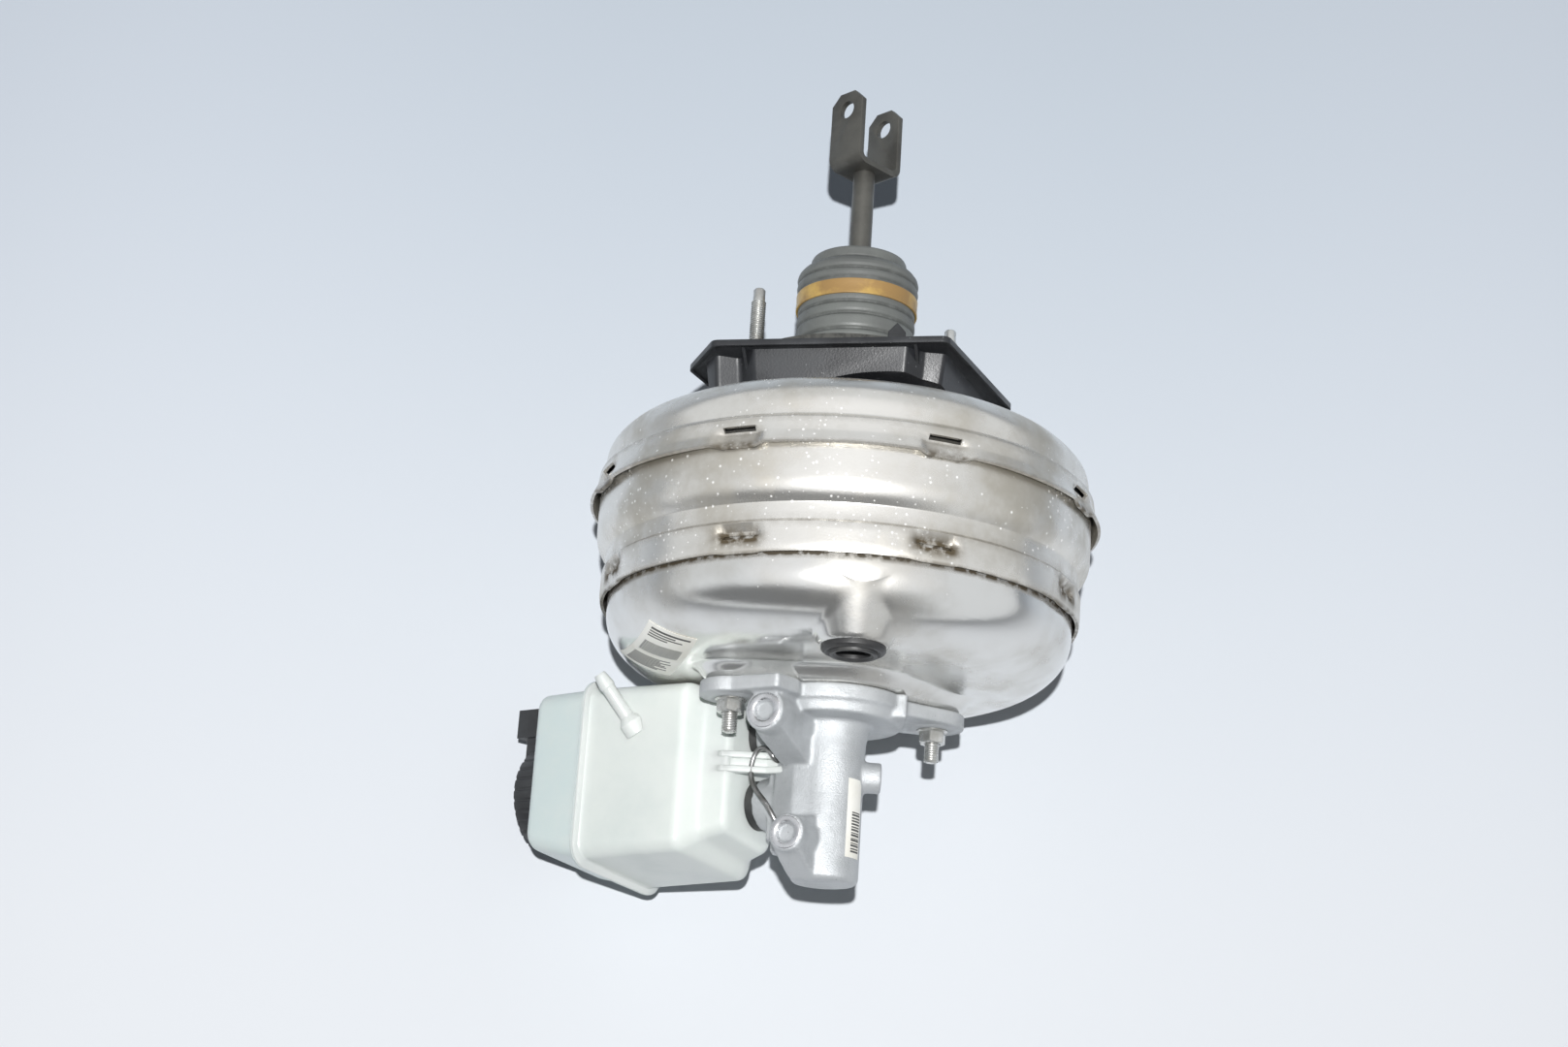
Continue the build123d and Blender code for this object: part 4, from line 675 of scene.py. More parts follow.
def makeBoot():
    s = bootSettings
    radius, deep, foot, hole, top = s["radius"], s["grooveDeep"], s["foot"], s["rodHole"], s["topRadius"] - 2.6
    outer = [(radius, foot), (radius, 3.0), (radius - 0.5, 12.0), (radius - 0.2, 16.0)]
    for groove in s["grooves"]:
        outer += [(radius, groove - 2.6), (radius - 0.15, groove - 1.5), (radius - deep, groove - 0.3),
                  (radius - deep, groove + 0.3), (radius - 0.35, groove + 1.2), (radius, groove + 2.4)]
    outer = outer[:-1]
    outer += [(radius - 0.2, s["bandLow"] - 0.8), (radius - 0.2, s["bandHigh"] + 0.4), *s["upper"]]
    inner = [(hole + 3.0, s["top"]), (hole, s["top"] - 0.4), (hole, 67.2), (hole + 2.2, 67.0), (hole + 2.2, 69.4),
             (top, 69.6), (top, 64.0), (radius - 3.9, 60.0), (radius - 3.9, 3.0), (radius - 2.2, foot)]
    outer = roundedLine(outer, [0.5] * (len(outer) - 2), 0.5)
    mesh = latheMesh("dustBoot", outer + inner, s["segments"], start=(0, 0, 1))
    for vertex in mesh.vertices:
        spot = vertex.co / mm
        turn = math.atan2(spot.x, spot.z)
        if math.hypot(spot.x, spot.z) > 20:
            push = 1 + 0.0022 * math.sin(turn * 2 + spot.y * 0.05) + 0.0018 * math.sin(turn * 5 - spot.y * 0.13)
            vertex.co.x *= push
            vertex.co.z *= push
    # painted shade in the boot's grooves and folds
    setStainAndShade(mesh, lambda spots: sum(
        np.exp(-((spots[:, 1] - groove) / 0.9) ** 2) for groove in (*s["grooves"], 50.6, 55.8, 65.1)) * 0.8)
    place("dustBoot", mesh, "bootRubber", slot="grey_rubber", replaces=("dust_boot",), sharp=60)
    low, high, thick = s["bandLow"] + 0.4, s["bandHigh"] - 0.4, s["bandThick"]
    band = roundedLine([(radius, low), (radius + thick, low), (radius + thick - 0.25, (low + high) / 2),
                        (radius + thick, high), (radius, high)], [0.4, 30.0, 0.4], 0.4)
    mesh = latheMesh("bootBand", band, s["segments"], start=(0, 0, 1))
    place("bootBand", mesh, "goldBand", slot="gold_band", replaces=("boot_band",), sharp=60)


makeBoot()
print("dust boot made")

rodSettings = {
    "segments": 40, "crest": 4.0, "root": 3.42, "pitch": 1.25, "shank": 4.8, "collar": 7.5, "dog": 3.2,
    "rearTop": 43.5, "dogLength": 7.0, "threadFoot": 5.0, "frontEnd": -201.0, "frontThread": -183.0, "lead": 0.9,
    "collarRear": -22.6, "collarFront": -170.4, "collarThick": 3.0,
}


def makeRidgeTree():
    tree = bpy.data.node_groups.new("threadRidges", "GeometryNodeTree")
    named = {}
    for label, kind in (("Crest", "Float"), ("Root", "Float"), ("Pitch", "Float"), ("Count", "Int"),
                        ("Sides", "Int"), ("Finish", "Material")):
        named[label] = tree.interface.new_socket(label, in_out="INPUT", socket_type="NodeSocket" + kind).identifier
    tree.interface.new_socket("Geometry", in_out="OUTPUT", socket_type="NodeSocketGeometry")
    given, result = tree.nodes.new("NodeGroupInput").outputs, tree.nodes.new("NodeGroupOutput")
    middle, deep = [calculate(tree, "MULTIPLY", calculate(tree, way, given["Crest"], given["Root"]), 0.5)
                    for way in ("ADD", "SUBTRACT")]
    circle = addNode(tree, "GeometryNodeCurvePrimitiveCircle", {"Resolution": given["Sides"], "Radius": middle})
    ridge = addNode(tree, "GeometryNodeCurvePrimitiveCircle", {"Resolution": 6, "Radius": deep})
    tube = addNode(tree, "GeometryNodeCurveToMesh", {
        "Curve": circle.outputs["Curve"], "Profile Curve": ridge.outputs["Curve"]})
    step = addNode(tree, "ShaderNodeCombineXYZ", {"Z": given["Pitch"]})
    row = addNode(tree, "GeometryNodeMeshLine", {"Count": given["Count"], "Offset": step.outputs[0]})
    copies = addNode(tree, "GeometryNodeInstanceOnPoints", {
        "Points": row.outputs["Mesh"], "Instance": tube.outputs["Mesh"]})
    real = addNode(tree, "GeometryNodeRealizeInstances", {0: copies.outputs[0]})
    coat = addNode(tree, "GeometryNodeSetMaterial", {"Geometry": real.outputs[0], "Material": given["Finish"]})
    tree.links.new(coat.outputs[0], result.inputs[0])
    return tree, named


ridgeTree, ridgeInputs = makeRidgeTree()


def ridges(s, count, sides, centre, way, finish):
    holder = linked("ridgeMaker", bpy.data.meshes.new("ridgeMaker"))
    modifier = holder.modifiers.new("ridges", "NODES")
    modifier.node_group = ridgeTree
    for label, value in (("Crest", s["crest"] * mm), ("Root", s["root"] * mm), ("Pitch", s["pitch"] * mm),
                         ("Count", count), ("Sides", sides), ("Finish", finishes[finish])):
        modifier[ridgeInputs[label]] = value
    mesh = evaluated(holder)
    spin = Vector((0, 0, 1)).rotation_difference(Vector(way)).to_matrix().to_4x4()
    mesh.transform(Matrix.Translation(Vector(centre) * mm) @ spin)
    mesh.materials.clear()
    return closeUp(mesh)


def makeTieRods():
    s = rodSettings
    crest, root, shank, collar, dog = s["crest"], s["root"], s["shank"], s["collar"], s["dog"]
    rear, front, frontThread = s["rearTop"], s["frontEnd"], s["frontThread"]
    threadTop = rear - s["dogLength"]
    nearCollar, farCollar, thick = s["collarRear"], s["collarFront"], s["collarThick"]
    line = [
        (0.0, rear), (dog - 0.7, rear), (dog, rear - 0.9), (dog, threadTop + 0.8), (root + 0.1, threadTop - 0.3),
        (root, threadTop - 1.0), (root, s["threadFoot"]), (crest, s["threadFoot"] - 1.0), (shank - 0.3, 0.0),
        (shank, -0.6), (shank, nearCollar), (collar, nearCollar), (collar, nearCollar - thick),
        (shank, nearCollar - thick), (shank, farCollar), (collar, farCollar), (collar, farCollar - thick),
        (crest, farCollar - thick), (crest, frontThread), (root, frontThread - 0.8), (root, front + 1.0),
        (root - 0.8, front), (0.0, front),
    ]
    threads = ((threadTop - s["lead"], threadTop - s["threadFoot"], -1), (front + s["lead"], frontThread - front, 1))
    meshes = []
    for side in (1, -1):
        x, z = rodPlace(side)
        meshes.append(latheMesh("rod", line, s["segments"], centre=(x, 0, z), closed=False))
        meshes += [ridges(s, int(length / s["pitch"]), s["segments"], (x, y, z), (0, way, 0), "zincPlate")
                   for y, length, way in threads]
    place("tieRods", joined("tieRods", *meshes), "zincPlate", slot="plated_steel", replaces=("tie_rods",), sharp=45)


nutSettings = {
    "across": 13.0, "bore": 4.05, "seat": -183.0, "washer": 1.5, "washerRadius": 8.2, "height": 6.5, "segments": 72,
    "chamferFrom": 6.1, "chamferSlope": 0.55, "clock": 12.0,
}


def makeNuts():
    s = nutSettings
    meshes = []
    bore, wide, washer, chamfer = s["bore"], s["washerRadius"], s["washer"], s["chamferFrom"]
    top = washer + s["height"]
    for way in (1, -1):
        x, z = rodPlace(way)
        vertices = []
        for index in range(s["segments"]):
            turn = 2 * math.pi * index / s["segments"]
            edge = s["across"] / 2 / math.cos(math.radians((math.degrees(turn) + s["clock"]) % 60 - 30))
            drop = max(edge - chamfer, 0) * s["chamferSlope"]
            column = [(bore, 0.0), (wide - 0.2, 0.0), (wide, 0.3), (wide, washer - 0.4),
                      (min(edge + 0.5, wide - 0.1), washer), (edge - 0.05, washer + 0.4), (edge, washer + 0.9),
                      (edge, top - drop - 0.15), (edge - 0.18, top - drop + 0.05), (chamfer, top), (bore + 0.7, top),
                      (bore, top - 0.7)]
            vertices += [(x + radius * math.sin(turn), s["seat"] - height, z + radius * math.cos(turn))
                         for radius, height in column]
        meshes.append(closeUp(newMesh("nut", vertices, ringFaces(s["segments"], len(column), closed=True))))
    place("cylinderNuts", joined("cylinderNuts", *meshes), "zincPlate", slot="plated_steel",
          replaces=("master_cylinder_nuts",), sharp=30)


grommetSettings = {
    "radius": 16.0, "bore": 8.6, "seat": -170.5, "proud": 5.0, "neck": 11.3, "sheet": 1.6, "inside": 14.0,
    "segments": 96,
}


def makeGrommet():
    s = grommetSettings
    x, z = domeSettings["portPlace"]
    top, bore, inside, neck, radius, sheet = s["proud"], s["bore"], s["inside"], s["neck"], s["radius"], -s["sheet"]
    profile = roundedLine([
        (bore + 0.6, sheet - 3.0), (inside, sheet - 3.0), (inside, sheet), (neck, sheet), (neck, 0.0), (radius, 0.0),
        (radius, 2.2), (radius - 1.2, 3.4), (13.4, 3.6), (12.8, 3.0), (12.2, 3.0), (11.9, top), (10.2, top),
        (9.6, top - 0.8), (bore, top - 1.2), (bore, 0.4), (bore + 0.6, 0.0), (bore, -0.6), (bore + 0.6, sheet - 2.9),
    ], [0.5, 0.3, 0.2, 0.2, 0.2, 0.9, 0.8, 0.5, 0.3, 0.3, 0.6, 0.8, 0.5, 0.5, 0.3, 0.3, 0.2], 0.5)
    mesh = latheMesh("vacuumGrommet", profile, s["segments"], centre=(x, s["seat"], z), axis=(0, -1, 0))
    place("vacuumGrommet", mesh, "blackRubber", slot="black_rubber", replaces=("vacuum_grommet",), sharp=50)


makeTieRods()
makeNuts()
makeGrommet()
print("rods, nuts and grommet made")


def mergedCopy(node, name):
    mesh = frame["nodes"][node].data.copy()
    mesh.name = name
    with edited(mesh) as body:
        bmesh.ops.remove_doubles(body, verts=body.verts, dist=2e-6)
    mesh.materials.clear()
    return mesh


def softened(node, name, finish, slot, body, width, sharp=35.0, least=25.0):
    mesh = mergedCopy(node, name)
    with edited(mesh) as work:
        bmesh.ops.dissolve_limit(work, angle_limit=math.radians(1.0), verts=work.verts, edges=work.edges)
        corners = [edge for edge in work.edges
                   if len(edge.link_faces) == 2 and edge.calc_face_angle(0) > math.radians(least)]
        bmesh.ops.bevel(work, geom=corners, offset=width * mm, segments=2, profile=0.6, affect="EDGES",
                        clamp_overlap=True)
    place(name, mesh, finish, body=body, slot=slot, replaces=(node,), sharp=sharp)


castSettings = {
    "voxel": 0.9, "rounds": 4, "pull": 0.6, "portLean": 28.0, "keepDeep": 16.0, "keepRadius": 6.4,
    "gusset": ((6.0, -238.0), (33.0, -243.0), (34.5, -259.5), (26.0, -265.5), (15.0, -271.6), (6.0, -271.6)),
    "shoulder": ((6.0, -184.0), (52.0, -183.6), (53.4, -199.0), (40.0, -205.0), (17.0, -213.0), (6.0, -213.0)),
    "gussetHalf": 7.5, "shoulderHalf": 8.5,
    "flare": ((0.0, -181.0), (28.0, -181.0), (27.0, -183.6), (22.6, -186.4), (19.6, -191.0), (18.0, -198.0),
              (17.5, -206.0), (0.0, -206.0)),
    "saddle": ((-6.5, 16.1), (-19.0, 10.0), (-28.5, -2.0), (-27.0, -12.0), (-8.0, -13.0)),
    "saddleRear": -196.0, "saddleFront": -257.0,
    "seat": ((8.6, -182.0), (12.6, -182.0), (12.6, -183.5), (11.9, -184.2), (8.6, -184.2)),
}
portUps = {"shoulder": 11.6, "gusset": 5.0}   # how far the ports' bosses stand beside the bore
portLean = math.radians(castSettings["portLean"])
portOut = Vector((-math.sin(portLean), 0, math.cos(portLean)))
portSide = Vector((math.cos(portLean), 0, math.sin(portLean)))

portFaces = [Vector(mount["pos_m"]) / mm for mount in frame["record"]["mounts"] if mount["kind"] == "threaded_hole"]


def inPort(spot):
    for face in portFaces:
        along = (spot - face).dot(portOut)
        if along > -castSettings["keepDeep"] and (spot - face - portOut * along).length < castSettings["keepRadius"]:
            return True
    return False


def makeCasting():
    s = castSettings
    extras = []
    for part in ("gusset", "shoulder"):
        sides = [[portOut * out + portSide * (side * s[part + "Half"] - portUps[part]) + Vector((0, y, 0))
                  for out, y in s[part]] for side in (1, -1)]
        extras.append(prism("web", *sides))
    extras.append(prism("saddle", *([(x, y, z) for x, z in s["saddle"]] for y in (s["saddleRear"], s["saddleFront"]))))
    extras.append(latheMesh("flare", s["flare"], 64, closed=False))
    for way in (1, -1):
        x, z = rodPlace(way)
        extras.append(latheMesh("seat", s["seat"], 64, centre=(x, 0, z)))
    whole = joined("cylinderCasting", mergedCopy("master_cylinder_body", "castCopy"), *extras)
    mesh = applied("cylinderCasting", whole, "REMESH", mode="VOXEL", voxel_size=s["voxel"] * mm, use_smooth_shade=True)
    with edited(mesh) as body:
        free = [vertex for vertex in body.verts if not inPort(vertex.co / mm)]
        for _ in range(s["rounds"]):
            bmesh.ops.smooth_vert(
                body, verts=free, factor=s["pull"], use_axis_x=True, use_axis_y=True, use_axis_z=True)
    mesh.materials.clear()
    place("cylinderCasting", mesh, "castAluminium", slot="cast_aluminium", replaces=("master_cylinder_body",), sharp=180)
    print("casting faces", len(mesh.polygons))


portSettings = {
    "rims": (9.4, 8.6), "bore": 5.2, "crest": 5.35, "root": 4.7, "depth": 14.4, "pitch": 1.0, "sides": 48,
}


def makePorts():
    s = portSettings
    bore, meshes = s["bore"], []
    for face, rim in zip(portFaces, s["rims"]):
        ring = [(bore + 0.9, 0.25), (rim - 0.5, 0.25), (rim, -0.2), (rim, -0.9), (bore + 0.1, -0.9), (bore + 0.1, -0.5)]
        meshes.append(latheMesh("portRing", ring, 64, centre=face, axis=portOut))
        meshes.append(ridges(s, int(s["depth"] / s["pitch"]), s["sides"], face - portOut * s["depth"], portOut,
                             "machinedAluminium"))
    place("portThreads", joined("portThreads", *meshes), "machinedAluminium", slot="machined_aluminium", sharp=45)


tankLean = math.radians(35.0)
tankUp = Vector((-math.cos(tankLean), 0, -math.sin(tankLean)))
tankSide = Vector((-math.sin(tankLean), 0, math.cos(tankLean)))


def tankSpot(side, up, y):
    return tankSide * side + tankUp * up + Vector((0, y, 0))


tankForm = {
    "near": 43.0, "far": 28.5, "rear": -167.0, "front": -259.0, "skew": 7.0, "round": 9.0, "seam": 129.0, "top": 168.0,
    "rim": 4.2, "rimThick": 1.5, "corner": 9, "side": 8, "cap": -217.0,
    "filler": 25.5, "fillerTop": 182.0,
    "footRound": 3.0, "topRound": 5.0, "levelStep": 1.2, "levelReach": 3.2,
    "inlets": (-193.0, -229.0),
}
lowerLevels = [   # up, near, far, rear and front side
    (44.2, 28.5, 15.0, -175.8, -246.0), (60.0, 31.0, 20.0, -172.0, -250.0), (65.5, 41.5, 27.0, -168.5, -257.5),
    (128.9, 43.0, 28.5, -167.0, -259.0),
]
upperLevels = [(129.1, 43.0, 28.5, -167.0, -259.0), (168.0, 40.0, 33.0, -167.0, -251.0)]


def tankRing(up, near, far, rear, front, inset, radius):
    corners = [np.array(corner) for corner in (
        (near - inset, rear - inset), (near - inset, front + inset),
        (inset - far, front - tankForm["skew"] + inset), (inset - far, rear - inset))]
    radius, count, steps = max(radius, 0.6), tankForm["corner"], tankForm["side"]
    arcs = []
    for index, here in enumerate(corners):
        into, out = here - corners[index - 1], corners[(index + 1) % 4] - here
        into, out = into / np.linalg.norm(into), out / np.linalg.norm(out)
        half = math.acos(float(into @ out)) / 2
        start, end = here - into * radius * math.tan(half), here + out * radius * math.tan(half)
        centre = here + (out - into) / np.linalg.norm(out - into) * radius / math.cos(half)
        first, last = [math.atan2(*(spot - centre)[::-1]) for spot in (start, end)]
        turn = (last - first + math.pi) % (2 * math.pi) - math.pi
        arcs.append([centre + radius * np.array([math.cos(angle), math.sin(angle)])
                     for angle in first + turn * np.arange(count + 1) / count])
    ring = []
    for index, arc in enumerate(arcs):
        following = arcs[(index + 1) % 4][0]
        ring += arc + [arc[-1] + (following - arc[-1]) * step / steps for step in range(1, steps)]
    return [tankSpot(float(side), up, float(y)) for side, y in ring]


def levelAt(levels, up):
    for first, second in zip(levels, levels[1:]):
        if up <= second[0] or second is levels[-1]:
            share = (up - first[0]) / (second[0] - first[0])
            return [a + (b - a) * share for a, b in zip(first[1:], second[1:])]


def softLevels(levels, step, reach):
    made = []
    low, high = levels[0][0], levels[-1][0]
    for up in np.linspace(low, high, int(round((high - low) / step)) + 1):
        room = min(reach, up - low, high - up)
        samples = [levelAt(levels, up + room * offset) for offset in (-1, -0.5, 0, 0.5, 1)]
        made.append((up, *np.average(np.array(samples), axis=0, weights=(1, 2, 3, 2, 1))))
    return made


def tankSkin(name, rings):
    count, last = len(rings[0]), (len(rings) - 1) * len(rings[0])
    faces = [*ringFaces(len(rings), count), tuple(range(count)), tuple(range(last, last + count))]
    return closeUp(newMesh(name, [spot for ring in rings for spot in ring], faces))


def makeTank():
    form = tankForm
    seam, rim, thick, corner, top = form["seam"], form["rim"], form["rimThick"], form["round"], form["top"]
    rimSteps = ((0.1, 0.5 - rim), (0.25, -rim), (1.1, -rim), (thick, 0.4 - rim), (thick + 0.3, -0.8),
                (thick + 1.2, 0.0))
    soft, edge, rings = softLevels(lowerLevels, form["levelStep"], form["levelReach"]), form["footRound"], []
    for up, *level in soft:
        if up <= seam - thick - 1.3:
            inset = edge - math.sqrt(max(edge ** 2 - (edge - min(up - soft[0][0], edge)) ** 2, 0))
            rings.append(tankRing(up, *level, inset, corner - 0.02 * (seam - up) - inset))
    rings += [tankRing(seam - step, *soft[-1][1:], inset, corner - inset) for step, inset in reversed(rimSteps)]
    neck = roundedLine([(0.0, 25.0), (6.4, 25.0), (7.2, 26.2), (7.2, 46.0), (0.0, 46.0)], [0.6, 0.6, 0.2], 0.5)
    necks = [latheMesh("neck", neck, 40, centre=(0, inlet, 0), axis=tankUp, closed=False) for inlet in form["inlets"]]
    place("tankLower", joined("tankLower", tankSkin("tankLower", rings), *necks, *tankFittings()), "tankLower",
          slot="tank_plastic", replaces=("reservoir_lower",), sharp=42)

    def upperRing(up, inset, radius):
        return tankRing(up, *levelAt(upperLevels, up), inset, radius)

    edge = form["topRound"]
    rings = [upperRing(seam + step, inset, corner - inset) for step, inset in rimSteps]
    rings += [upperRing(up, 0.0, corner) for up in np.arange(seam + 5.0, top - edge, 3.0)]
    for angle in range(0, 91, 10):
        inset = edge * (1 - math.cos(math.radians(angle)))
        rings.append(upperRing(top - edge + edge * math.sin(math.radians(angle)), inset, corner - inset * 0.8))
    rings += [upperRing(top, inset, 6.0) for inset in (8.0, 12.0, 18.0)]
    filler, fillerTop = form["filler"], form["fillerTop"]
    neck = roundedLine([(0.0, top - 1.0), (filler + 2.0, top - 1.0), (filler + 0.2, top + 0.8), (filler, top + 2.0),
                        (filler, fillerTop), (0.0, fillerTop)], [0.2, 1.0, 1.5, 0.8], 0.6)
    neck = latheMesh("filler", neck, 96, centre=(0, form["cap"], 0), axis=tankUp, closed=False)
    place("tankUpper", joined("tankUpper", tankSkin("tankUpper", rings), neck), "tankUpper", slot="tank_plastic",
          replaces=("reservoir_upper",), sharp=42)


spoutSettings = {
    "foot": (40.6, 98.0, -192.0), "aim": (17.0, 12.0, 25.0), "radius": 4.2, "length": 34.0, "bore": 2.4, "segments": 40,
}
armSettings = {"rear": -205.0, "front": -216.0, "thick": 3.4, "middleIn": 1.4, "web": 12.3, "pinUp": 22.0, "soft": 1.3}


def tankFittings():
    s = spoutSettings
    way = tankSide * s["aim"][0] + tankUp * s["aim"][1] + Vector((0, s["aim"][2], 0))
    radius, length, bore = s["radius"], s["length"], s["bore"]
    profile = roundedLine([
        (0.0, -3.0), (radius + 2.2, -3.0), (radius + 2.2, 4.0), (radius + 0.6, 6.0), (radius - 0.4, 7.5),
        (radius - 0.5, length - 9.0), (radius, length - 8.0), (radius, length - 6.5), (radius - 0.8, length - 1.0),
        (radius - 1.3, length), (bore, length), (bore, 2.0), (0.0, 2.0),
    ], [0.3, 0.8, 1.0, 1.0, 0.4, 0.4, 0.4, 0.3, 0.2, 0.2, 0.2], 0.6)
    fittings = [latheMesh("spout", profile, s["segments"], centre=tankSpot(*s["foot"]), axis=way, closed=False)]
    s = armSettings
    web, pin, rear, front, thick = s["web"], s["pinUp"], s["rear"], s["front"], s["thick"]
    section = roundedLine([(28.0, 61.0), (30.0, 48.0), (web + 5.0, pin + 6), (web + 4.0, pin - 6), (web, pin - 6),
                           (web, pin + 7), (21.0, 46.0), (21.0, 61.0)], [2.0, 3.0, 1.0, 1.0, 1.0, 3.0], 1.0)
    for low, high, inset in ((rear, rear - thick, 0.0), (rear - thick, front + thick, s["middleIn"]),
                             (front + thick, front, 0.0)):
        arm = prism("arm", *([tankSpot(side - inset, up, y) for side, up in section] for y in (low, high)))
        fittings.append(applied("arm", arm, "BEVEL", width=s["soft"] * mm, segments=3, limit_method="ANGLE",
                                angle_limit=math.radians(50)))
    return fittings


makeCasting()
makePorts()
makeTank()
print("cylinder and tank made")

wireSettings = {
    "radius": 1.4, "sides": 5,
    "route": (   # side, up and y on the tank's lean
        (-15.0, 22.0, -210.5), (17.5, 22.0, -210.5), (20.2, 22.2, -208.0), (20.4, 25.0, -204.4), (20.4, 29.6, -202.6),
        (20.4, 34.0, -205.9), (20.4, 35.9, -213.7), (20.4, 34.6, -221.0), (20.2, 30.2, -227.2), (19.8, 25.0, -232.2),
        (18.6, 21.6, -238.2), (16.0, 20.0, -243.0),
    ),
}


def makeWireClip():
    s = wireSettings
    curve = bpy.data.curves.new("wireClip", "CURVE")
    curve.dimensions = "3D"
    spline = curve.splines.new("NURBS")
    spline.points.add(len(s["route"]) - 1)
    for point, spot in zip(spline.points, s["route"]):
        point.co = (*(tankSpot(*spot) * mm), 1.0)
    spline.order_u, spline.resolution_u, spline.use_endpoint_u = 4, 8, True
    curve.bevel_depth, curve.bevel_resolution, curve.use_fill_caps = s["radius"] * mm, s["sides"], True
    mesh = evaluated(linked("wireMaker", curve))
    mesh.name = "wireClip"
    place("wireClip", closeUp(mesh), "springSteel", slot="spring_steel", replaces=("wire_clip",), sharp=60)


makeWireClip()

softPieces = [   # node, piece, finish, slot, body, bevel
    ("clevis", "clevisFork", "rodSteel", "dark_steel", "pedal_rod", 0.5),
    ("mounting_frame", "mountingFrame", "framePlastic", "black_plastic", "root", 0.45),
    ("level_sensor", "levelSensor", "blackPlastic", "black_plastic", "root", 0.6),
    ("reservoir_cap", "reservoirCap", "blackPlastic", "black_plastic", "cap", 0.4),
    ("boot_clip", "bootClip", "blackPlastic", "black_plastic", "root", 0.6),
]
for softPiece in softPieces:
    softened(*softPiece)
print("edges softened")

labelSettings = {
    "corners": ((-96.0, 62.0), (-71.0, 67.0), (-86.0, -2.0), (-113.0, 2.0)), "lift": 0.35, "inkLift": 0.5,
    "steps": (14, 26), "slopeStep": 0.5, "lineHigh": 0.013,
    "bars": ((0.10, 0.90, 0.05, 0.075), (0.10, 0.62, 0.10, 0.115), (0.10, 0.78, 0.14, 0.155), (0.10, 0.5, 0.18, 0.195)),
    "code": (0.12, 0.88, 0.30, 0.52, 23), "lines": (0.62, 0.93, 9),
}


def onDome(u, v, lift):
    first, second, third, fourth = [np.array(corner) for corner in labelSettings["corners"]]
    x, z = (first * (1 - u) + second * u) * (1 - v) + (fourth * (1 - u) + third * u) * v
    step = labelSettings["slopeStep"]
    y, besideX, besideZ = [float(domeHeight(np.array([a]), np.array([b]))[0])
                           for a, b in ((x, z), (x + step, z), (x, z + step))]
    return Vector((x, y, z)) + Vector(((besideX - y) / step, -1.0, (besideZ - y) / step)).normalized() * lift


def patch(u0, u1, v0, v1, lift, steps, deep, surface=onDome):
    across, down = steps
    wide, base = across + 1, (across + 1) * (down + 1)
    vertices = [surface(u0 + (u1 - u0) * column / across, v0 + (v1 - v0) * row / down, layer)
                for layer in (lift, lift - deep) for row in range(down + 1) for column in range(wide)]
    faces = []
    for row in range(down):
        for column in range(across):
            corner = row * wide + column
            faces.append((corner, corner + 1, corner + wide + 1, corner + wide))
            faces.append(tuple(base + index for index in reversed(faces[-1])))
    edge = [*range(wide), *(row * wide + across for row in range(1, down + 1)),
            *(down * wide + column for column in range(across - 1, -1, -1)),
            *(row * wide for row in range(down - 1, 0, -1))]
    for corner, after in zip(edge, edge[1:] + edge[:1]):
        faces.append((after, corner, base + corner, base + after))
    return closeUp(newMesh("patch", vertices, faces))


def barRow(start, end, count, least, more, turn, phase, pitch):
    widths = [least + more * abs(math.sin(index * turn + phase)) for index in range(count)]
    share, place = (end - start) / (sum(widths) * pitch), start
    for width in widths:
        yield place, place + share * width
        place += pitch * share * width


def makeDomeLabel():
    s = labelSettings
    film = patch(0, 1, 0, 1, s["lift"], s["steps"], 0.2)
    place("domeLabel", joined("domeLabel", film), "labelFilm", slot="pressed_steel")
    ink = [patch(*bar, s["inkLift"], (6, 1), 0.2) for bar in s["bars"]]
    left, right, top, bottom, count = s["code"]
    ink += [patch(near, far, top, bottom, s["inkLift"], (1, 4), 0.2)
            for near, far in barRow(left, right, count, 0.35, 0.55, 2.3, 0, 2)]
    top, bottom, count = s["lines"]
    for index in range(count):
        v, end = top + (bottom - top) * index / count, 0.55 + 0.3 * abs(math.sin(index * 1.9 + 1))
        ink.append(patch(0.10, end, v, v + s["lineHigh"], s["inkLift"], (6, 1), 0.2))
    place("domeLabelInk", joined("domeLabelInk", *ink), "labelInk", slot="pressed_steel")


stripSettings = {
    "radius": 17.45, "from": 33.0, "to": 68.0, "rear": -219.0, "front": -259.5, "lift": 0.22, "inkLift": 0.34,
    "barRear": 0.42, "barFront": 0.95, "bars": 15, "left": 0.30, "right": 0.92,
}


def onCylinder(u, v, lift):
    s = stripSettings
    turn = math.radians(s["from"] + (s["to"] - s["from"]) * u)
    y = s["rear"] + (s["front"] - s["rear"]) * v
    radius = s["radius"] + lift
    return Vector((radius * math.sin(turn), y, radius * math.cos(turn)))


def makeStrip():
    s = stripSettings
    film = patch(0, 1, 0, 1, s["lift"], (10, 8), 0.3, onCylinder)
    place("cylinderStrip", joined("cylinderStrip", film), "labelFilm", slot="cast_aluminium")
    ink = [patch(s["left"], s["right"], near, far, s["inkLift"], (6, 1), 0.2, onCylinder)
           for near, far in barRow(s["barRear"], s["barFront"], s["bars"], 0.3, 0.7, 1.7, 0.4, 1.8)]
    place("cylinderStripInk", joined("cylinderStripInk", *ink), "labelInk", slot="cast_aluminium")


makeDomeLabel()
makeStrip()
print("labels made")

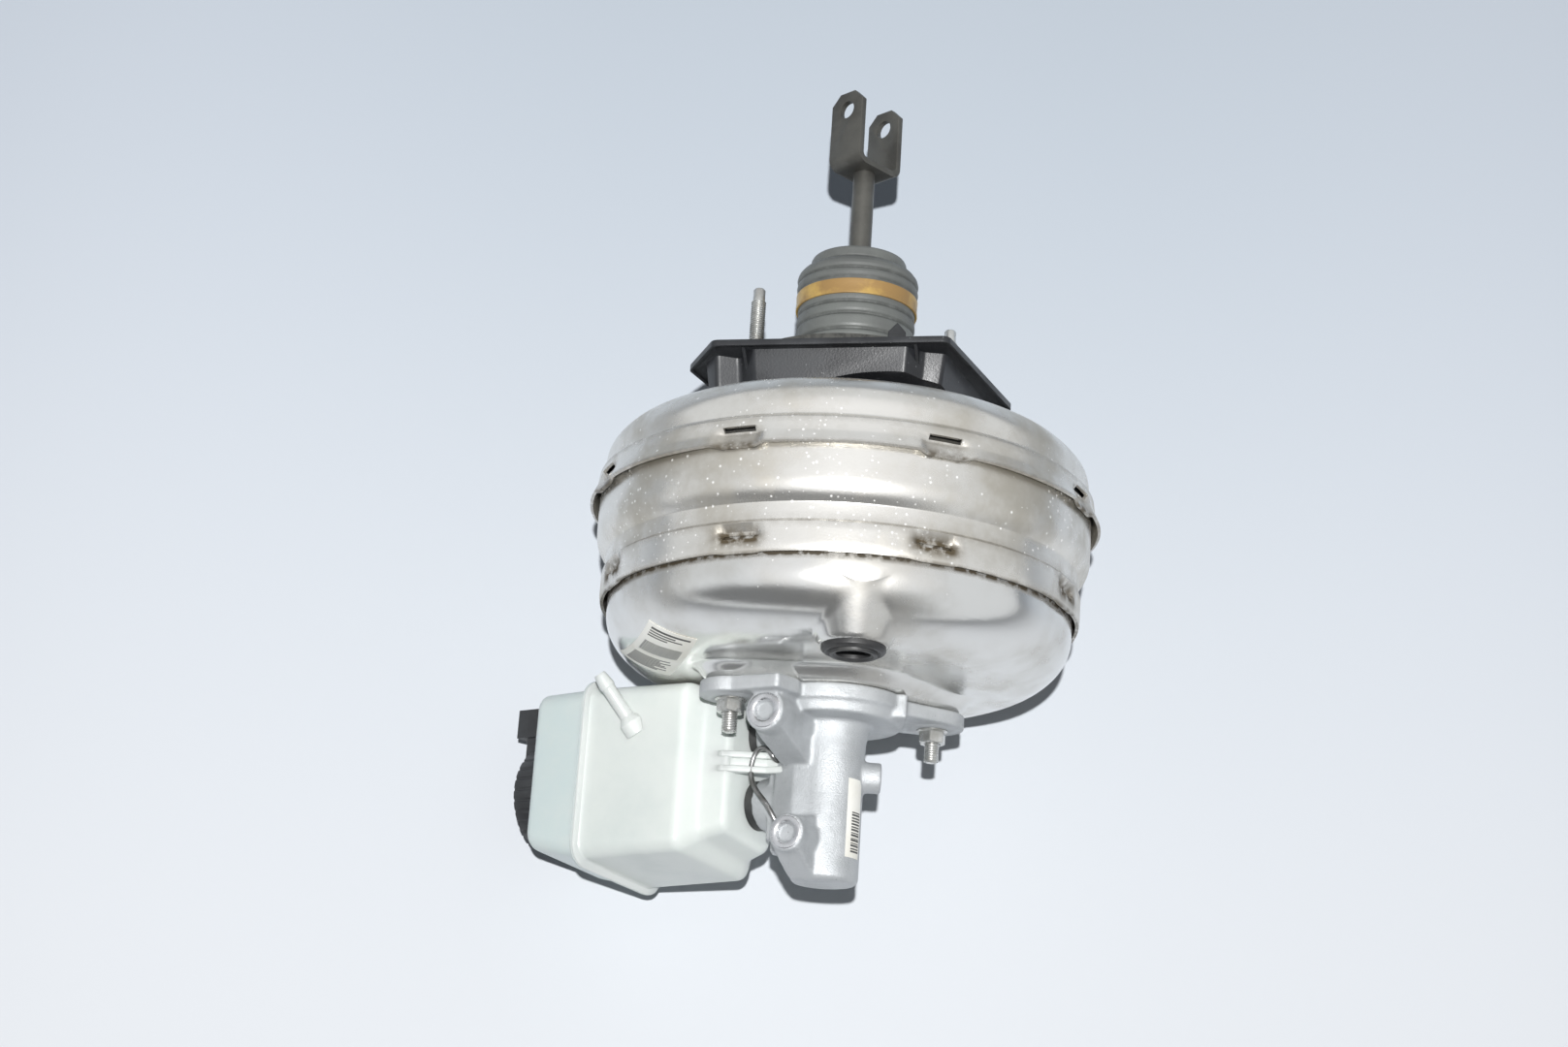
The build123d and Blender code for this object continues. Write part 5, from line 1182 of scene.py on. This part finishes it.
slotFinishes = {
    "pressed_steel": "shellTin", "plated_steel": "zincPlate", "spring_steel": "springSteel", "dark_steel": "rodSteel",
    "cast_aluminium": "castAluminium", "machined_aluminium": "machinedAluminium", "black_plastic": "blackPlastic",
    "black_rubber": "blackRubber", "grey_rubber": "bootRubber", "foam_rubber": "filterFelt", "gold_band": "goldBand",
    "tank_plastic": "tankLower", "phenolic": "phenolic", "filter_felt": "filterFelt",
}
nodeFinishes = {"mounting_frame": "framePlastic", "reservoir_upper": "tankUpper", "front_shell": "domeTin"}


def dressNodes():
    slots = {piece["node"]: piece["material_slot"] for piece in frame["record"]["subparts"]}
    for name, piece in frame["nodes"].items():
        finish = finishes[nodeFinishes.get(name) or slotFinishes[slots[name]]]
        if not piece.data.materials:
            piece.data.materials.append(finish)
        for held in piece.material_slots:
            held.material = finish
    print("nodes dressed", len(frame["nodes"]))


dressNodes()

# the floor's colours are painted light: darker and bluer towards +Y for the light's falloff, and lighter towards the
# sides to cancel the key lamp's pool of light
stageSettings = {
    "size": 9.0, "near": (219, 222, 226), "far": (200, 209, 219), "nearY": -0.42, "farY": 0.32,
    "nearSidePaintedLight": (226, 229, 233), "farSidePaintedLight": (210, 218, 228), "paintedLightFrom": 0.12, "paintedLightTo": 0.5,
}
lampSettings = {
    "keySize": 0.026, "keyPower": 35.5, "keyUp": 0.163, "keySide": 0.008, "keyBack": 0.344,
}
cameraSettings = {
    "tilt": 17.57, "roll": 3.73, "aim": (0.0321, 0.0008), "distance": 1.3415, "focal": 2600.0, "frameWidth": 1617.0,
    "rowShift": -0.078, "sensor": 36.0,
}


def makeCamera(settings):
    tilt, roll = math.radians(settings["tilt"]), math.radians(settings["roll"])
    turned = Matrix.Rotation(tilt, 3, "X") @ Matrix.Rotation(roll, 3, "Z")
    aim = Vector((-settings["aim"][0], -settings["aim"][1], settings["distance"]))
    data = bpy.data.cameras.new("camera")
    data.sensor_width = settings["sensor"]
    data.lens = settings["sensor"] * settings["focal"] / settings["frameWidth"]
    data.clip_start = 0.01
    camera = linked("camera", data)
    camera.matrix_world = Matrix.Translation(turned @ aim + Vector((0, settings["rowShift"], 0))) @ turned.to_4x4()
    bpy.context.scene.camera = camera
    return camera


camera = makeCamera(cameraSettings)


def makeStage(settings):
    half = settings["size"] / 2
    mesh = bpy.data.meshes.new("floor")
    corners = ((-1, -1), (1, -1), (1, 1), (-1, 1))
    mesh.from_pydata([(x * half, y * half, cadLow.z) for x, y in corners], [], [(0, 1, 2, 3)])
    material, tree, shader = newMaterial("floorPaintedFalloff")
    x, y = addNode(tree, "ShaderNodeSeparateXYZ", {0: objectPlace(tree)}).outputs[:2]
    # painted light: the colour darkens towards +Y and towards the middle, standing in for the light's falloff
    share = mapRange(tree, y, settings["nearY"], settings["farY"])
    middle = mixColours(tree, share, linear(*settings["near"]), linear(*settings["far"]))
    paintedSideLight = mixColours(tree, share, linear(*settings["nearSidePaintedLight"]), linear(*settings["farSidePaintedLight"]))
    away = mapRange(tree, calculate(tree, "ABSOLUTE", x), settings["paintedLightFrom"], settings["paintedLightTo"])
    fill(tree, shader, {
        "Base Color": mixColours(tree, away, middle, paintedSideLight), "Roughness": 0.9, "Specular IOR Level": 0.1})
    mesh.materials.append(material)
    linked("floor", mesh)


makeStage(stageSettings)


def makeKeyLamp(settings):
    data = bpy.data.lights.new("key", "AREA")
    data.shape, data.size, data.energy = "DISK", settings["keySize"], settings["keyPower"]
    offset = camera.matrix_world.to_3x3() @ Vector((settings["keySide"], settings["keyUp"], settings["keyBack"]))
    linked("key", data).matrix_world = Matrix.Translation(offset) @ camera.matrix_world


makeKeyLamp(lampSettings)

worldSettings = {
    "ambient": (236, 242, 250), "fill": 0.12, "room": (0.78, 0.80, 0.82, 1), "dark": (0.16, 0.165, 0.17, 1),
    "glow": (0.95, 0.96, 0.98, 1), "ahead": (-0.25, -0.6), "low": (0.02, 0.12), "aside": (0.35, 0.75),
    "highFrom": (0.84, 0.60), "highTo": (0.66, 0.46), "window": (0.65, 0.25), "glowHigh": (0.6, 0.8),
}


def makeWorld(settings):
    world = bpy.data.worlds.new("studio")
    bpy.context.scene.world = world
    world.use_nodes = True
    tree = world.node_tree
    tree.nodes.clear()
    way = addNode(tree, "ShaderNodeTexCoord").outputs["Generated"]
    x, y, z = addNode(tree, "ShaderNodeSeparateXYZ", {0: way}).outputs
    aside = mapRange(tree, calculate(tree, "ABSOLUTE", x), *settings["aside"])
    dark = mapRange(tree, z, *settings["low"])
    for mask in (
            mapRange(tree, z, *(mapRange(tree, aside, 0.0, 1.0, *settings[end]) for end in ("highFrom", "highTo"))),
            mapRange(tree, y, *settings["ahead"]),      # the side that the drum's front looks at
            mapRange(tree, x, *settings["window"])):    # brighter towards +X
        dark = calculate(tree, "MULTIPLY", dark, mask)
    room = mixColours(tree, dark, settings["room"], settings["dark"])
    room = mixColours(tree, mapRange(tree, z, *settings["glowHigh"]), room, settings["glow"])
    rays = addNode(tree, "ShaderNodeLightPath").outputs
    seen = calculate(tree, "MAXIMUM", rays["Is Camera Ray"], rays["Is Transmission Ray"])
    ambient, mirrored, backdrop = [addNode(tree, "ShaderNodeBackground", inputs).outputs[0] for inputs in (
        {"Color": linear(*settings["ambient"]), "Strength": settings["fill"]}, {"Color": room},
        {"Color": linear(*stageSettings["far"])})]
    glossy = addNode(tree, "ShaderNodeMixShader", {0: rays["Is Glossy Ray"], 1: ambient, 2: mirrored}).outputs[0]
    shown = addNode(tree, "ShaderNodeMixShader", {0: seen, 1: glossy, 2: backdrop}).outputs[0]
    addNode(tree, "ShaderNodeOutputWorld", {0: shown})


makeWorld(worldSettings)
bpy.context.scene.view_settings.view_transform = "Standard"
print("stage, lamps and camera made")
